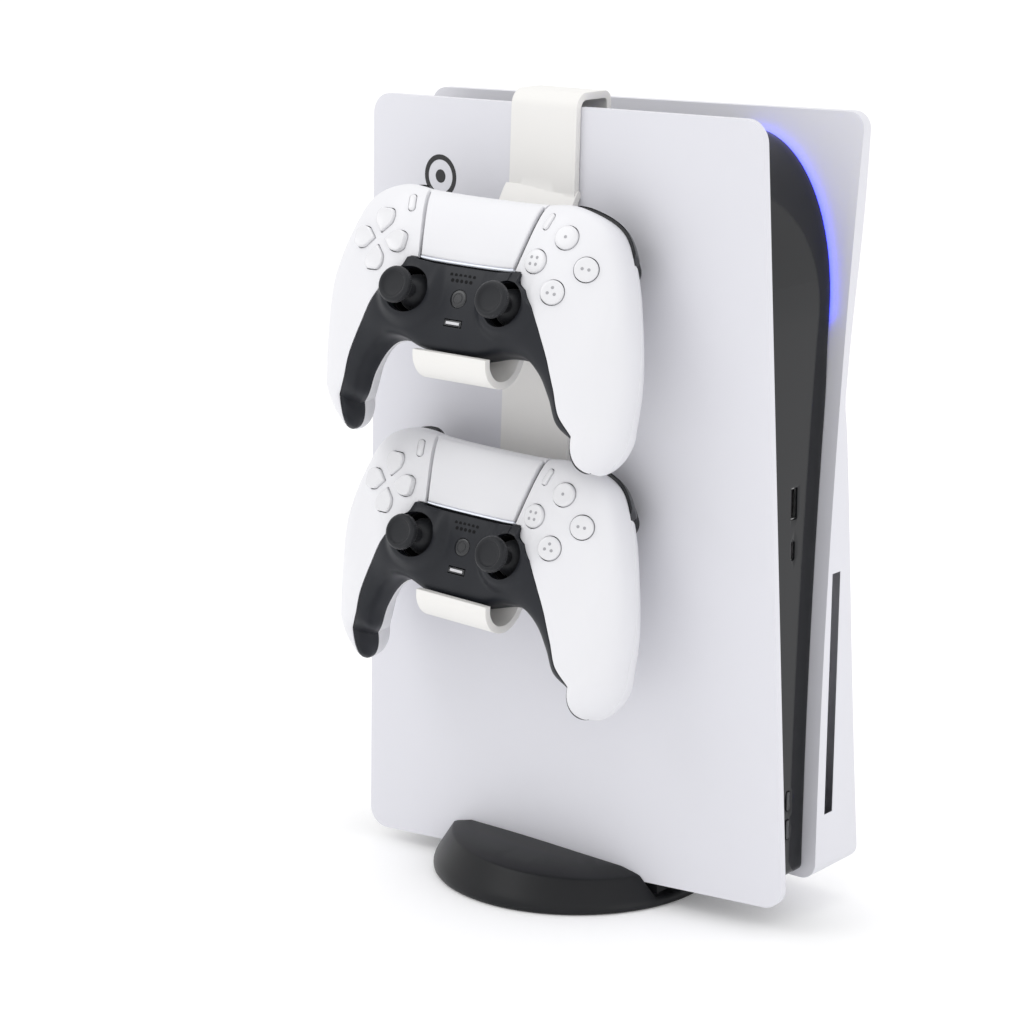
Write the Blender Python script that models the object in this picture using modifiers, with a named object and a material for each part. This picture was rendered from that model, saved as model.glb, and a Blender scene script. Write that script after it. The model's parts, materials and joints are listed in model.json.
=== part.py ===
# Game console standing on a round base, with a hanger over its left panel
# that holds two wireless controllers.  Metres, +Z up, origin on the floor
# under the stand.  The console's front faces -Y, its plain panel is at -X.
import bpy
import bmesh
import numpy as np
from math import sin, cos, pi, radians, sqrt
from mathutils import Matrix, Vector

# ---------------------------------------------------------------- dimensions
MM = 0.001
GAP = 0.35                      # clearance between touching pieces, mm
PANEL_T = 4.0                   # side panel thickness
# outer corners of the left panel (x, y, z), mm
L_FT = (-51.8, -129.0, 408.3)
L_FB = (-21.1, -129.0, 14.2)
L_RB = (-33.0, 129.5, 7.7)
L_RT = (-27.0, 126.9, 405.5)
PANEL_R = 11.0                  # corner radius of the panels
R_Z0, R_Z1 = 20.0, 405.0        # right panel, bottom and top
R_Y0, R_Y1 = -127.4, 129.0      # right panel, front and rear
BAY_TOP = 262.0                 # disc bay starts below this height
SLOT_Z0, SLOT_Z1, SLOT_W = 54.0, 178.0, 6.0
CORE_Z0, CORE_Z1 = 24.0, 395.0
FRONT_Y = -119.4                # front of the fascia
ROUND_Y, ROUND_Z = 53.0, 90.0   # large round of the body's top front corner
FASCIA_T = 2.2
STAND_R, STAND_Y = 75.4, 15.0
FAN_R = 52.0
K = 1.1144                      # controller size against its nominal drawing
HK = 1.027                      # size of the trays' drawing
SHELL_T = 2.2
STICK_U, STICK_V = 25.4, 1.4
PAD_U, PAD_V = 47.3, 21.9
BTN_OFF, BTN_R = 12.1, 5.3
PIVOT_W = -9.0                  # height of the stick's pivot


def clear():
    for o in list(bpy.data.objects):
        bpy.data.objects.remove(o, do_unlink=True)


clear()
PARTS = bpy.data.collections.new("game_console_with_controllers")
bpy.context.scene.collection.children.link(PARTS)
CUTS = bpy.data.collections.new("cutters")
bpy.context.scene.collection.children.link(CUTS)


def material(name, rgb, rough=0.5, metal=0.0):
    m = bpy.data.materials.get(name) or bpy.data.materials.new(name)
    m.use_nodes = True
    b = m.node_tree.nodes["Principled BSDF"]
    b.inputs["Base Color"].default_value = (*rgb, 1)
    b.inputs["Roughness"].default_value = rough
    b.inputs["Metallic"].default_value = metal
    return m


WHITE = ((0.78, 0.78, 0.81), 0.5, 0.0)
SHELLW = ((0.84, 0.84, 0.86), 0.45, 0.0)
CREAM = ((0.86, 0.855, 0.84), 0.55, 0.0)
BLACK = ((0.012, 0.012, 0.014), 0.12, 0.0)
SATIN = ((0.02, 0.021, 0.024), 0.4, 0.0)
TRIM = ((0.03, 0.034, 0.042), 0.45, 0.0)
RUBBER = ((0.022, 0.024, 0.029), 0.6, 0.0)
GREY = ((0.2, 0.2, 0.21), 0.5, 0.0)
GREEN = ((0.02, 0.12, 0.05), 0.5, 0.0)
STEEL = ((0.55, 0.56, 0.58), 0.35, 1.0)
BLUE = ((0.05, 0.08, 0.9), 0.4, 0.0)


# ------------------------------------------------------------------ helpers
def new_object(name, bm, mat, col=None, smooth=True):
    bmesh.ops.recalc_face_normals(bm, faces=bm.faces)
    if bm.calc_volume(signed=True) < 0:
        bmesh.ops.reverse_faces(bm, faces=bm.faces)
    me = bpy.data.meshes.new(name)
    bm.to_mesh(me)
    bm.free()
    o = bpy.data.objects.new(name, me)
    (col or PARTS).objects.link(o)
    if mat:
        me.materials.append(material(name, *mat))
    if smooth:
        me.shade_smooth()
        me.set_sharp_from_angle(angle=radians(35))
    if col is CUTS:
        o.hide_render = True
        o.display_type = "WIRE"
    return o


def boolean(o, cutter, op="DIFFERENCE"):
    m = o.modifiers.new(op.lower(), "BOOLEAN")
    m.operation = op
    m.object = cutter
    m.solver = "EXACT"
    return m


def bake(o):
    """Apply the modifiers, so that the piece can be cut or placed again."""
    dg = bpy.context.evaluated_depsgraph_get()
    me = bpy.data.meshes.new_from_object(o.evaluated_get(dg))
    o.modifiers.clear()
    o.data = me
    return o


def bevel(o, width, seg=2, angle=40):
    m = o.modifiers.new("bevel", "BEVEL")
    m.width = width * MM
    m.segments = seg
    m.limit_method = "ANGLE"
    m.angle_limit = radians(angle)
    m.harden_normals = False
    return m


def loft(rings, closed=True, caps=True):
    """Skin between rings of equal length, as one bmesh (mm in, metres out)."""
    bm = bmesh.new()
    vs = [[bm.verts.new(Vector(p) * MM) for p in r] for r in rings]
    n = len(rings[0])
    last = n if closed else n - 1
    for a, b in zip(vs, vs[1:]):
        for i in range(last):
            j = (i + 1) % n
            bm.faces.new((a[i], a[j], b[j], b[i]))
    if caps:
        bm.faces.new(vs[0])
        bm.faces.new(list(reversed(vs[-1])))
    return bm


def box(name, lo, hi, mat, col=None, bev=0.0, seg=1):
    bm = bmesh.new()
    c = [(a + b) / 2 * MM for a, b in zip(lo, hi)]
    s = [(b - a) * MM for a, b in zip(lo, hi)]
    bmesh.ops.create_cube(bm, size=1.0, matrix=Matrix.Translation(c) @ Matrix.Diagonal((*s, 1)))
    o = new_object(name, bm, mat, col)
    if bev:
        bevel(o, bev, seg)
    return o


def turned(name, prof, mat, col=None, seg=20, mtx=None):
    """Solid of revolution about local Z from (r, z) pairs in mm, r=0 at both ends."""
    rings = []
    for r, z in prof:
        rings.append([(r * cos(2 * pi * i / seg), r * sin(2 * pi * i / seg), z) for i in range(seg)])
    bm = loft(rings)
    if mtx is not None:
        bmesh.ops.transform(bm, matrix=mtx, verts=bm.verts)
    return new_object(name, bm, mat, col)


def prism(name, pts, h0, h1, mat, col=None, mtx=None):
    """Flat outline (x, y) in mm between heights h0 and h1."""
    bm = loft([[(x, y, h0) for x, y in pts], [(x, y, h1) for x, y in pts]])
    if mtx is not None:
        bmesh.ops.transform(bm, matrix=mtx, verts=bm.verts)
    return new_object(name, bm, mat, col)


def sheet_block(name, rows, xa, xb, ny, mat, col=None):
    """Solid between the surfaces x = xa(y, z) and x = xb(y, z); rows are (z, y0, y1)."""
    bm = bmesh.new()
    grids = []
    for f in (xa, xb):
        g = []
        for z, y0, y1 in rows:
            g.append([bm.verts.new(Vector((f(y, z), y, z)) * MM)
                      for y in np.linspace(y0, y1, ny + 1)])
        grids.append(g)
    A, B = grids
    nr = len(rows)
    for g in grids:
        for i in range(nr - 1):
            for j in range(ny):
                bm.faces.new((g[i][j], g[i][j + 1], g[i + 1][j + 1], g[i + 1][j]))
    for i in range(nr - 1):
        for j in (0, ny):
            bm.faces.new((A[i][j], A[i + 1][j], B[i + 1][j], B[i][j]))
    for j in range(ny):
        for i in (0, nr - 1):
            bm.faces.new((A[i][j], A[i][j + 1], B[i][j + 1], B[i][j]))
    return new_object(name, bm, mat, col)


def round_rows(z0, z1, y0, y1, r, mid=6, arc=4):
    """Rows of a rounded rectangle; z0, z1, y0, y1 may be numbers or y functions of z."""
    rows = []
    fy0 = y0 if callable(y0) else (lambda z: y0)
    fy1 = y1 if callable(y1) else (lambda z: y1)
    for k in range(arc + 1):
        a = pi / 2 * k / arc
        z = z0 + r * (1 - cos(a))
        d = r * (1 - sin(a))
        rows.append((z, fy0(z) + d, fy1(z) - d))
    for z in np.linspace(z0 + r, z1 - r, mid + 2)[1:-1]:
        rows.append((z, fy0(z), fy1(z)))
    for k in range(arc, -1, -1):
        a = pi / 2 * k / arc
        z = z1 - r * (1 - cos(a))
        d = r * (1 - sin(a))
        rows.append((z, fy0(z) + d, fy1(z) - d))
    return rows


# ------------------------------------------------------- console's surfaces
def smooth(x, a, b):
    t = min(1.0, max(0.0, (x - a) / (b - a)))
    return t * t * (3 - 2 * t)


def left_outer(y, z):
    """Outer face of the left panel, ruled between its four corners."""
    t = (z - L_FB[2]) / (L_FT[2] - L_FB[2])
    xf = L_FB[0] + (L_FT[0] - L_FB[0]) * t
    xr = L_RB[0] + (L_RT[0] - L_RB[0]) * t
    s = (y - L_RT[1]) / (L_FT[1] - L_RT[1])
    return xr + (xf - xr) * s


def left_inner(y, z):
    return left_outer(y, z) + PANEL_T


def right_inner(y, z):
    """Inner face of the right panel: it flares out towards the top front."""
    q = z - 30
    xf = 11.8 + 0.010 * q + 0.00018 * q * q
    xr = 25.0 - 0.005 * q
    s = (y - R_Y1) / (R_Y0 - R_Y1)
    return xr + (xf - xr) * s


def right_outer(y, z):
    base = right_inner(y, z) + PANEL_T + 1.0
    base += 3.0 * np.exp(-((z - 355) / 50.0) ** 2) * (1 - smooth(y, -127, -60))
    b = 36.0 * min(1.0, max(0.0, (BAY_TOP - z) / (BAY_TOP - 20))) ** 0.78
    b *= 1 - smooth(y, -10, 95)
    return base + b


def front_profile(z):
    """Front of the body at height z, with the large round at the top."""
    zc = CORE_Z1 - ROUND_Z
    if z <= zc:
        return FRONT_Y
    return FRONT_Y + ROUND_Y * (1 - sqrt(max(0.0, 1 - ((z - zc) / ROUND_Z) ** 2)))


def flare(z):
    return 0.8 + 2.2 * smooth(z, 262, 302)


# side panels
def left_rows():
    out = []
    r = PANEL_R
    arc = 3

    zb = lambda y: L_FB[2] + (L_RB[2] - L_FB[2]) * (y - L_FB[1]) / (L_RB[1] - L_FB[1])
    zt = lambda y: L_FT[2] + (L_RT[2] - L_FT[2]) * (y - L_FT[1]) / (L_RT[1] - L_FT[1])
    for k in range(arc + 1):
        a = pi / 2 * k / arc
        out.append(("b", r * (1 - cos(a)), r * (1 - sin(a))))
    for t in np.linspace(0, 1, 6)[1:-1]:
        out.append(("m", t, 0.0))
    for k in range(arc, -1, -1):
        a = pi / 2 * k / arc
        out.append(("t", r * (1 - cos(a)), r * (1 - sin(a))))
    return out, zb, zt


def left_panel_mesh():
    spec, zb, zt = left_rows()
    ny = 4
    bm = bmesh.new()
    grids = []
    for fx in (left_outer, left_inner):
        g = []
        for kind, p, d in spec:
            row = []
            for j in range(ny + 1):
                yr = L_RB[1] if kind == "b" else (L_RT[1] if kind == "t" else L_RB[1] + (L_RT[1] - L_RB[1]) * p)
                y = (L_FT[1] + d) + (yr - L_FT[1] - 2 * d) * j / ny
                if kind == "b":
                    z = zb(y) + p
                elif kind == "t":
                    z = zt(y) - p
                else:
                    z = (zb(y) + PANEL_R) * (1 - p) + (zt(y) - PANEL_R) * p
                row.append(bm.verts.new(Vector((fx(y, z), y, z)) * MM))
            g.append(row)
        grids.append(g)
    A, B = grids
    nr = len(spec)
    for g in grids:
        for i in range(nr - 1):
            for j in range(ny):
                bm.faces.new((g[i][j], g[i][j + 1], g[i + 1][j + 1], g[i + 1][j]))
    for i in range(nr - 1):
        for j in (0, ny):
            bm.faces.new((A[i][j], A[i + 1][j], B[i + 1][j], B[i][j]))
    for j in range(ny):
        for i in (0, nr - 1):
            bm.faces.new((A[i][j], A[i][j + 1], B[i][j + 1], B[i][j]))
    return bm


left = new_object("left_side_panel", left_panel_mesh(), WHITE)
bevel(left, 1.1, 1, 50)

right = sheet_block("right_side_panel", round_rows(R_Z0, R_Z1, R_Y0, R_Y1, 9.0, 8, 3),
                    right_inner, right_outer, 8, WHITE)
# pocket for the optical drive, open towards the body
pocket_rows = [(z, -98, 20) for z in np.linspace(46, 196, 6)]
pocket = sheet_block("cut_bay", pocket_rows, lambda y, z: right_inner(y, z) - 6,
                     lambda y, z: right_outer(y, z) - 4.2, 4, None, CUTS)
boolean(right, pocket)
# the disc slot runs from the bay's front face into the pocket
sx = right_inner(R_Y0, 115) + 9.6
slot = prism("cut_slot", [(sx - SLOT_W / 2 - 1.0, SLOT_Z0), (sx + SLOT_W / 2 - 1.0, SLOT_Z0),
                          (sx + SLOT_W / 2 + 1.0, SLOT_Z1), (sx - SLOT_W / 2 + 1.0, SLOT_Z1)],
             90, 140, None, CUTS,
             Matrix(((1, 0, 0, 0), (0, 0, -1, 0), (0, 1, 0, 0), (0, 0, 0, 1))))
boolean(right, slot)
bake(right)

# ------------------------------------------------------------ body and front
CORE_IN = 6.2                    # the body stands this far behind the fascia's face


def offset_profile(d, n=9):
    """Points (y, z) of the front profile moved inwards by d, bottom to top."""
    pts = [(FRONT_Y + d, CORE_Z0 + 0.0), (FRONT_Y + d, 120.0), (FRONT_Y + d, 215.0)]
    zc = CORE_Z1 - ROUND_Z
    for k in range(n + 1):
        a = pi / 2 * k / n
        pts.append((FRONT_Y + ROUND_Y - (ROUND_Y - d) * cos(a), zc + (ROUND_Z - d) * sin(a)))
    return pts


def core_rows(inset_front, inset, n=7):
    rows = []
    zc = CORE_Z1 - ROUND_Z
    top = CORE_Z1 - inset
    for z in (CORE_Z0 + inset, 80, 150, 220, zc):
        rows.append((z, FRONT_Y + inset_front, 120 - inset))
    for k in range(1, n + 1):
        a = pi / 2 * k / n * 0.985
        z = zc + (ROUND_Z - inset) * sin(a)
        rows.append((z, FRONT_Y + ROUND_Y - (ROUND_Y - inset_front) * cos(a), 120 - inset))
    return rows


core = sheet_block("core_housing", core_rows(CORE_IN, 2.6),
                   lambda y, z: left_inner(y, z) + flare(z),
                   lambda y, z: right_inner(y, z) - flare(z), 6, SATIN)
hollow = sheet_block("cut_core", core_rows(CORE_IN + 16, 6.5),
                     lambda y, z: left_inner(y, z) - 5,
                     lambda y, z: right_inner(y, z) - flare(z) - 2.4, 7, None, CUTS)
boolean(core, hollow)
# blind pockets behind the two front ports
port_a = box("cut_port_a", (-6.0, -130, 209.5), (-0.4, -104, 225.7), None, CUTS)
port_c = box("cut_port_c", (-5.0, -130, 189.0), (-1.7, -107, 199.2), None, CUTS)
boolean(core, port_a)
boolean(core, port_c)
# grille slots at the rear, where the warm air leaves, and the mains inlet
for i in range(9):
    c = box("cut_vent_%d" % i, (-16, 108, 110 + i * 28), (14, 130, 126 + i * 28), None, CUTS)
    boolean(core, c)
inlet = box("cut_inlet", (-12, 111.6, 60), (4, 130, 84), None, CUTS)
boolean(core, inlet)
bake(core)

outer = offset_profile(0.0)
inner = offset_profile(FASCIA_T)


def strip(name, po, pi_, xl, xr, mat, col=None):
    rings = []
    for (yo, zo), (yi, zi) in zip(po, pi_):
        a, b = xl(yo, zo), xr(yo, zo)
        rings.append([(a, yo, zo), (b, yo, zo), (b, yi, zi), (a, yi, zi)])
    return new_object(name, loft(rings), mat, col)


fascia = strip("front_fascia", outer, inner,
               lambda y, z: left_inner(y, z) + flare(z),
               lambda y, z: right_inner(y, z) - flare(z), BLACK)
pa = box("cut_fascia_a", (-6.0, -130, 209.5), (-0.4, -104, 225.7), None, CUTS)
pc = box("cut_fascia_c", (-5.0, -130, 189.0), (-1.7, -107, 199.2), None, CUTS)
pw = box("cut_power", (-4.9, -130, 44.6), (-1.1, -104, 55.4), None, CUTS)
pe = box("cut_eject", (-4.9, -130, 59.6), (-1.1, -104, 70.4), None, CUTS)
for c in (pa, pc, pw, pe):
    boolean(fascia, c)
bake(fascia)
for nm, z in (("power_button", 50.0), ("eject_button", 65.0)):
    box(nm, (-4.5, FRONT_Y - 0.5, z - 5.0), (-1.5, FRONT_Y + 4.2, z + 5.0), GREY)

# light guide: a thin bar up each side of the fascia's round, joined by a
# cross bar behind the fascia
go = offset_profile(1.6)[3:]
gi = offset_profile(4.6)[3:]
guide = strip("light_guide", go, gi, lambda y, z: right_inner(y, z) - 2.5,
              lambda y, z: right_inner(y, z) - 0.9, BLUE)
g2 = strip("cut_guide_left", go, gi, lambda y, z: left_inner(y, z) + 1.0,
           lambda y, z: left_inner(y, z) + 2.5, None, CUTS)
yb = FRONT_Y + 3.0
bar = box("cut_guide_bar", (left_inner(yb, 306) + 1.2, FRONT_Y + 2.7, 305.8),
          (right_inner(yb, 306) - 1.2, FRONT_Y + 4.9, 310.5), None, CUTS)
boolean(guide, g2, "UNION")
boolean(guide, bar, "UNION")
bake(guide)

# ----------------------------------------------------------- inside the body
box("power_supply", (-20, 20, 34), (4, 108, 96), STEEL, None, 0.8)
box("motherboard", (6.0, -84, 108), (7.8, 104, 372), GREEN)
# heat sink: a base plate with a row of fins
pts = [(-80, 0), (40, 0), (40, 3)]
n = 12
for i in range(n):
    a = 40 - i * 10
    pts += [(a - 0.01, 3), (a - 0.01, 18), (a - 2.2, 18), (a - 2.2, 3)]
pts += [(-80, 3)]
clean = []
for p in pts:
    if not clean or (abs(p[0] - clean[-1][0]) > 0.005 or abs(p[1] - clean[-1][1]) > 0.005):
        clean.append(p)
prism("heat_sink", clean, 112, 205, STEEL, None,
      Matrix(((0, -1, 0, 5.2 * MM), (1, 0, 0, 0), (0, 0, 1, 0), (0, 0, 0, 1))))
# fan: a hub with blades about an axis along X
FAN_C = (-16.0, 5.0, 292.0)
MX = Matrix.Translation(Vector(FAN_C) * MM) @ Matrix.Rotation(pi / 2, 4, "Y")
fan = turned("cooling_fan", [(0.001, -9), (18, -9), (18, 9), (0.001, 9)], SATIN, None, 18, MX)
for i in range(9):
    bm = bmesh.new()
    bmesh.ops.create_cube(bm, size=1.0, matrix=Matrix.Diagonal((38 * MM, 1.6 * MM, 15 * MM, 1)))
    bmesh.ops.transform(bm, matrix=MX @ Matrix.Rotation(2 * pi * i / 9, 4, "Z")
                        @ Matrix.Translation((34 * MM, 0, 0)) @ Matrix.Rotation(radians(32), 4, "X"), verts=bm.verts)
    bl = new_object("cut_blade_%d" % i, bm, None, CUTS)
    boolean(fan, bl, "UNION")
bake(fan)
drive = sheet_block("optical_drive", [(z, -94, 12) for z in np.linspace(52, 188, 4)],
                    lambda y, z: right_inner(y, z) + 3.0,
                    lambda y, z: min(right_outer(y, z) - 5.0, right_inner(y, z) + 17.0), 4, STEEL)
dslot = prism("cut_drive_slot", [(sx - 3.6, SLOT_Z0 + 2), (sx + 1.6, SLOT_Z0 + 2), (sx + 3.4, SLOT_Z1 - 2),
                                 (sx - 1.8, SLOT_Z1 - 2)],
              60, 140, None, CUTS, Matrix(((1, 0, 0, 0), (0, 0, -1, 0), (0, 1, 0, 0), (0, 0, 0, 1))))
boolean(drive, dslot)
bake(drive)

# ------------------------------------------------------------------- stand
SEG = 48
rings = []
prof = [(STAND_R - 1.6, 0.0), (STAND_R, 2.0), (STAND_R - 1.2, 6.0), (STAND_R - 9.5, 21.0), (STAND_R - 12.5, 23.0)]


def stand_top(y):
    """The stand's rim drops from the rear towards the front."""
    return 1.0 - 0.30 * smooth(-y, -80, 75)


for r, z in prof:
    ring = []
    for i in range(SEG):
        a = 2 * pi * i / SEG
        x, y = r * cos(a), STAND_Y + r * sin(a)
        ring.append((x, y, z * stand_top(y)))
    rings.append(ring)
stand = new_object("stand", loft(rings), SATIN)
chan_rows = [(z, -75, 105) for z in (5.2, 12.0, 30.0)]
chan = sheet_block("cut_stand", chan_rows, lambda y, z: left_outer(y, z) - GAP,
                   lambda y, z: right_outer(y, max(z, 20)) + GAP + 1.0, 6, None, CUTS)
boolean(stand, chan)
# saddle under the body, between the panels
bake(stand)
saddle = sheet_block("cut_saddle", [(z, -52, 82) for z in (4.6, 12.0, CORE_Z0 + 2.6 - GAP)],
                     lambda y, z: left_inner(y, 20) + 1.5, lambda y, z: right_inner(y, 20) - 1.5, 4, None, CUTS)
boolean(stand, saddle, "UNION")
bake(stand)


# -------------------------------------------------------------- controllers
def catmull(xs, ys, x):
    xs = np.asarray(xs, float)
    ys = np.asarray(ys, float)
    i = int(np.clip(np.searchsorted(xs, x) - 1, 0, len(xs) - 2))
    d = np.gradient(ys, xs, axis=0)
    h = xs[i + 1] - xs[i]
    t = (x - xs[i]) / h
    return ((2 * t ** 3 - 3 * t ** 2 + 1) * ys[i] + (t ** 3 - 2 * t ** 2 + t) * h * d[i]
            + (-2 * t ** 3 + 3 * t ** 2) * ys[i + 1] + (t ** 3 - t ** 2) * h * d[i + 1])


# Half of a controller seen from the front: spokes run from its lower, inner
# edge to its upper, outer edge, from the middle (0) to the end of a grip (1).
# inner u, inner v, outer u, outer v, front w, back w, squareness, lean, bulge
SPOKE = [0.0, 0.12, 0.24, 0.36, 0.48, 0.60, 0.72, 0.86, 1.0]
TABLE = [
    (0.0, -22.8, 0.0, 47.7, -3.3, -22.0, 3.4, -1.1, 5.6),
    (8.5, -22.8, 14.9, 47.8, -3.3, -22.4, 3.4, -1.1, 4.7),
    (16.8, -21.9, 29.5, 48.3, -2.6, -23.4, 3.2, -1.6, 2.0),
    (26.8, -18.9, 45.5, 49.3, -1.1, -27.8, 3.0, -1.8, 1.9),
    (36.9, -19.2, 61.6, 43.0, -1.6, -33.9, 2.7, -2.8, 2.5),
    (44.5, -25.7, 70.3, 28.4, -4.5, -37.1, 2.5, -2.2, 0.2),
    (49.7, -34.9, 76.5, 7.6, -6.9, -40.9, 2.3, -2.0, -1.0),
    (53.2, -44.3, 78.8, -17.9, -12.0, -46.7, 2.2, -4.1, -1.6),
    (59.0, -49.0, 77.1, -39.9, -17.5, -51.9, 2.2, -3.8, -3.0),
]
TIP = 15.0                       # length of the rounded end of a grip
TIP_DIR = np.array([-0.19, -1.05, -0.31])


def surf(s, th, t=0.0):
    """Point of the body's skin at spoke s and angle th, t mm under the skin."""
    sg = 1.0 if s >= 0 else -1.0
    q = abs(s)
    psi = 0.0
    if q > 1:
        psi = (q - 1) * pi / 2
        q = 1.0
    iu, iv, ou, ov, fw, bw, n, lean, bulge = catmull(SPOKE, TABLE, q)
    c = np.array([(iu + ou) / 2, (iv + ov) / 2, (fw + bw) / 2])
    e = np.array([ou - iu, ov - iv])
    L = np.hypot(*e)
    e = e / L
    a = (L / 2 - t) * cos(psi)
    h = ((fw - bw) / 2 - t) * cos(psi)
    c = c + TIP_DIR * (TIP - t) * sin(psi)
    C, S = cos(th), sin(th)
    if S > 0:                    # the face is flatter than the back
        n = n + 1.3 - 1.1 * smooth(q, 0.55, 1.0)
    x = np.sign(C) * abs(C) ** (2 / n)
    y = np.sign(S) * abs(S) ** (2 / n)
    u = c[0] + e[0] * a * x
    v = c[1] + e[1] * a * x
    w = c[2] + h * y + lean * x
    g = max(0.0, -C) * max(0.0, -S) * 2
    v -= bulge * g * cos(psi)
    return np.array([sg * u, v, w])


_S = np.linspace(0, 1, 61)
_T = np.linspace(radians(8), radians(172), 83)
_GRID = np.array([[surf(s, t) for t in _T] for s in _S]).reshape(-1, 3)


def skin_w(u, v):
    """Height of the front skin above the point (u, v)."""
    d = (_GRID[:, 0] - abs(u)) ** 2 + (_GRID[:, 1] - v) ** 2
    k = np.argsort(d)[:4]
    wt = 1 / (d[k] + 0.01)
    return float((_GRID[k, 2] * wt).sum() / wt.sum())


D2R = pi / 180
PART = -6.0                      # outer seam between front and rear shells
SIDE = 0.255                     # spoke along the side of the touchpad
WIN0, WIN1 = 0.30, 0.58          # window for the shoulder buttons


def th_front(s):
    """Lower edge of the white front shell, degrees."""
    q = abs(s)
    if q < SIDE:
        return 27.0
    return float(np.interp(q, [SIDE, 0.30, 0.36, 0.42, 0.48, 0.54, 0.60, 0.66, 0.72, 0.86, 1.0, 2.0],
                           [89.75, 89.9, 91.6, 97, 105, 111.7, 117, 121.5, 124.5, 129, 131, 130]))


def beyond(s, th, gap):
    """Angle that lies gap mm past th along the skin."""
    a = surf(s, th * D2R)
    lo, hi = 0.0, 6.0
    for _ in range(30):
        m = (lo + hi) / 2
        if np.linalg.norm(surf(s, (th + m) * D2R) - a) < gap:
            lo = m
        else:
            hi = m
    return th + hi


def trim_top(s):
    """Upper edge of the dark trim: below the touchpad in the middle, below the wings elsewhere."""
    return beyond(s, th_front(s) if abs(s) > SIDE + 0.001 else 89.75, 0.8)


def th_rear(s):
    q = abs(s)
    return float(np.interp(q, [0, 0.24, 0.48, 0.72, 1.0, 2.0], [195, 195, 192.5, 189, 192, 198]))


def th_open(s):
    """Upper end of the rear shell; it stops short at the shoulder buttons."""
    q = abs(s)
    return 290.0 if WIN0 <= q <= WIN1 else 360.0 + PART


def thick_patch(name, ss, ta, tb, nth, depth, mat, raise_=None, col=None):
    """Piece of the skin between spokes ss and angles ta(s)..tb(s), depth(s, th) thick."""
    bm = bmesh.new()
    O, I = [], []
    for s in ss:
        a, b = ta(s), tb(s)
        ro, ri = [], []
        for k in range(nth + 1):
            th = (a + (b - a) * k / nth) * D2R
            up = raise_(s, th) if raise_ else 0.0
            p = surf(s, th, -up if not isinstance(up, tuple) else 0.0)
            if isinstance(up, tuple):
                p = p + np.array(up)
            d = depth(s, th) if callable(depth) else depth
            ro.append(bm.verts.new(Vector(p) * MM))
            ri.append(bm.verts.new(Vector(surf(s, th, d)) * MM))
        O.append(ro)
        I.append(ri)
    n = len(ss)
    for g in (O, I):
        for i in range(n - 1):
            for j in range(nth):
                bm.faces.new((g[i][j], g[i][j + 1], g[i + 1][j + 1], g[i + 1][j]))
    for i in range(n - 1):
        for j in (0, nth):
            bm.faces.new((O[i][j], O[i + 1][j], I[i + 1][j], I[i][j]))
    for j in range(nth):
        for i in (0, n - 1):
            bm.faces.new((O[i][j], O[i][j + 1], I[i][j + 1], I[i][j]))
    return new_object(name, bm, mat, col)


def mound(s, th):
    """Round collar that rises about each stick."""
    p = surf(s, th, 0.0)
    r = np.hypot(abs(p[0]) - STICK_U, p[1] - STICK_V)
    if sin(th) < -0.15:
        return 0.0
    k = 1 - smooth(r, 12.0, 18.0)
    return (0.0, 0.0, 3.2 * k)


def petal(k, grow=0.0):
    """One of the direction pad's four petals, about the pad's centre."""
    pts = [(0.0, 2.9 - grow), (4.6 + grow, 7.4), (5.0 + grow, 11.4), (3.4 + grow * 0.7, 14.0 + grow * 0.7),
           (-3.4 - grow * 0.7, 14.0 + grow * 0.7), (-5.0 - grow, 11.4), (-4.6 - grow, 7.4)]
    a = pi / 2 * k
    return [(x * cos(a) - y * sin(a), x * sin(a) + y * cos(a)) for x, y in pts]


def at(u, v, w=0.0):
    return Matrix.Translation(Vector((u, v, w)) * MM)


BUTTONS = {"north": (0, 1), "east": (1, 0), "south": (0, -1), "west": (-1, 0)}


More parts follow.
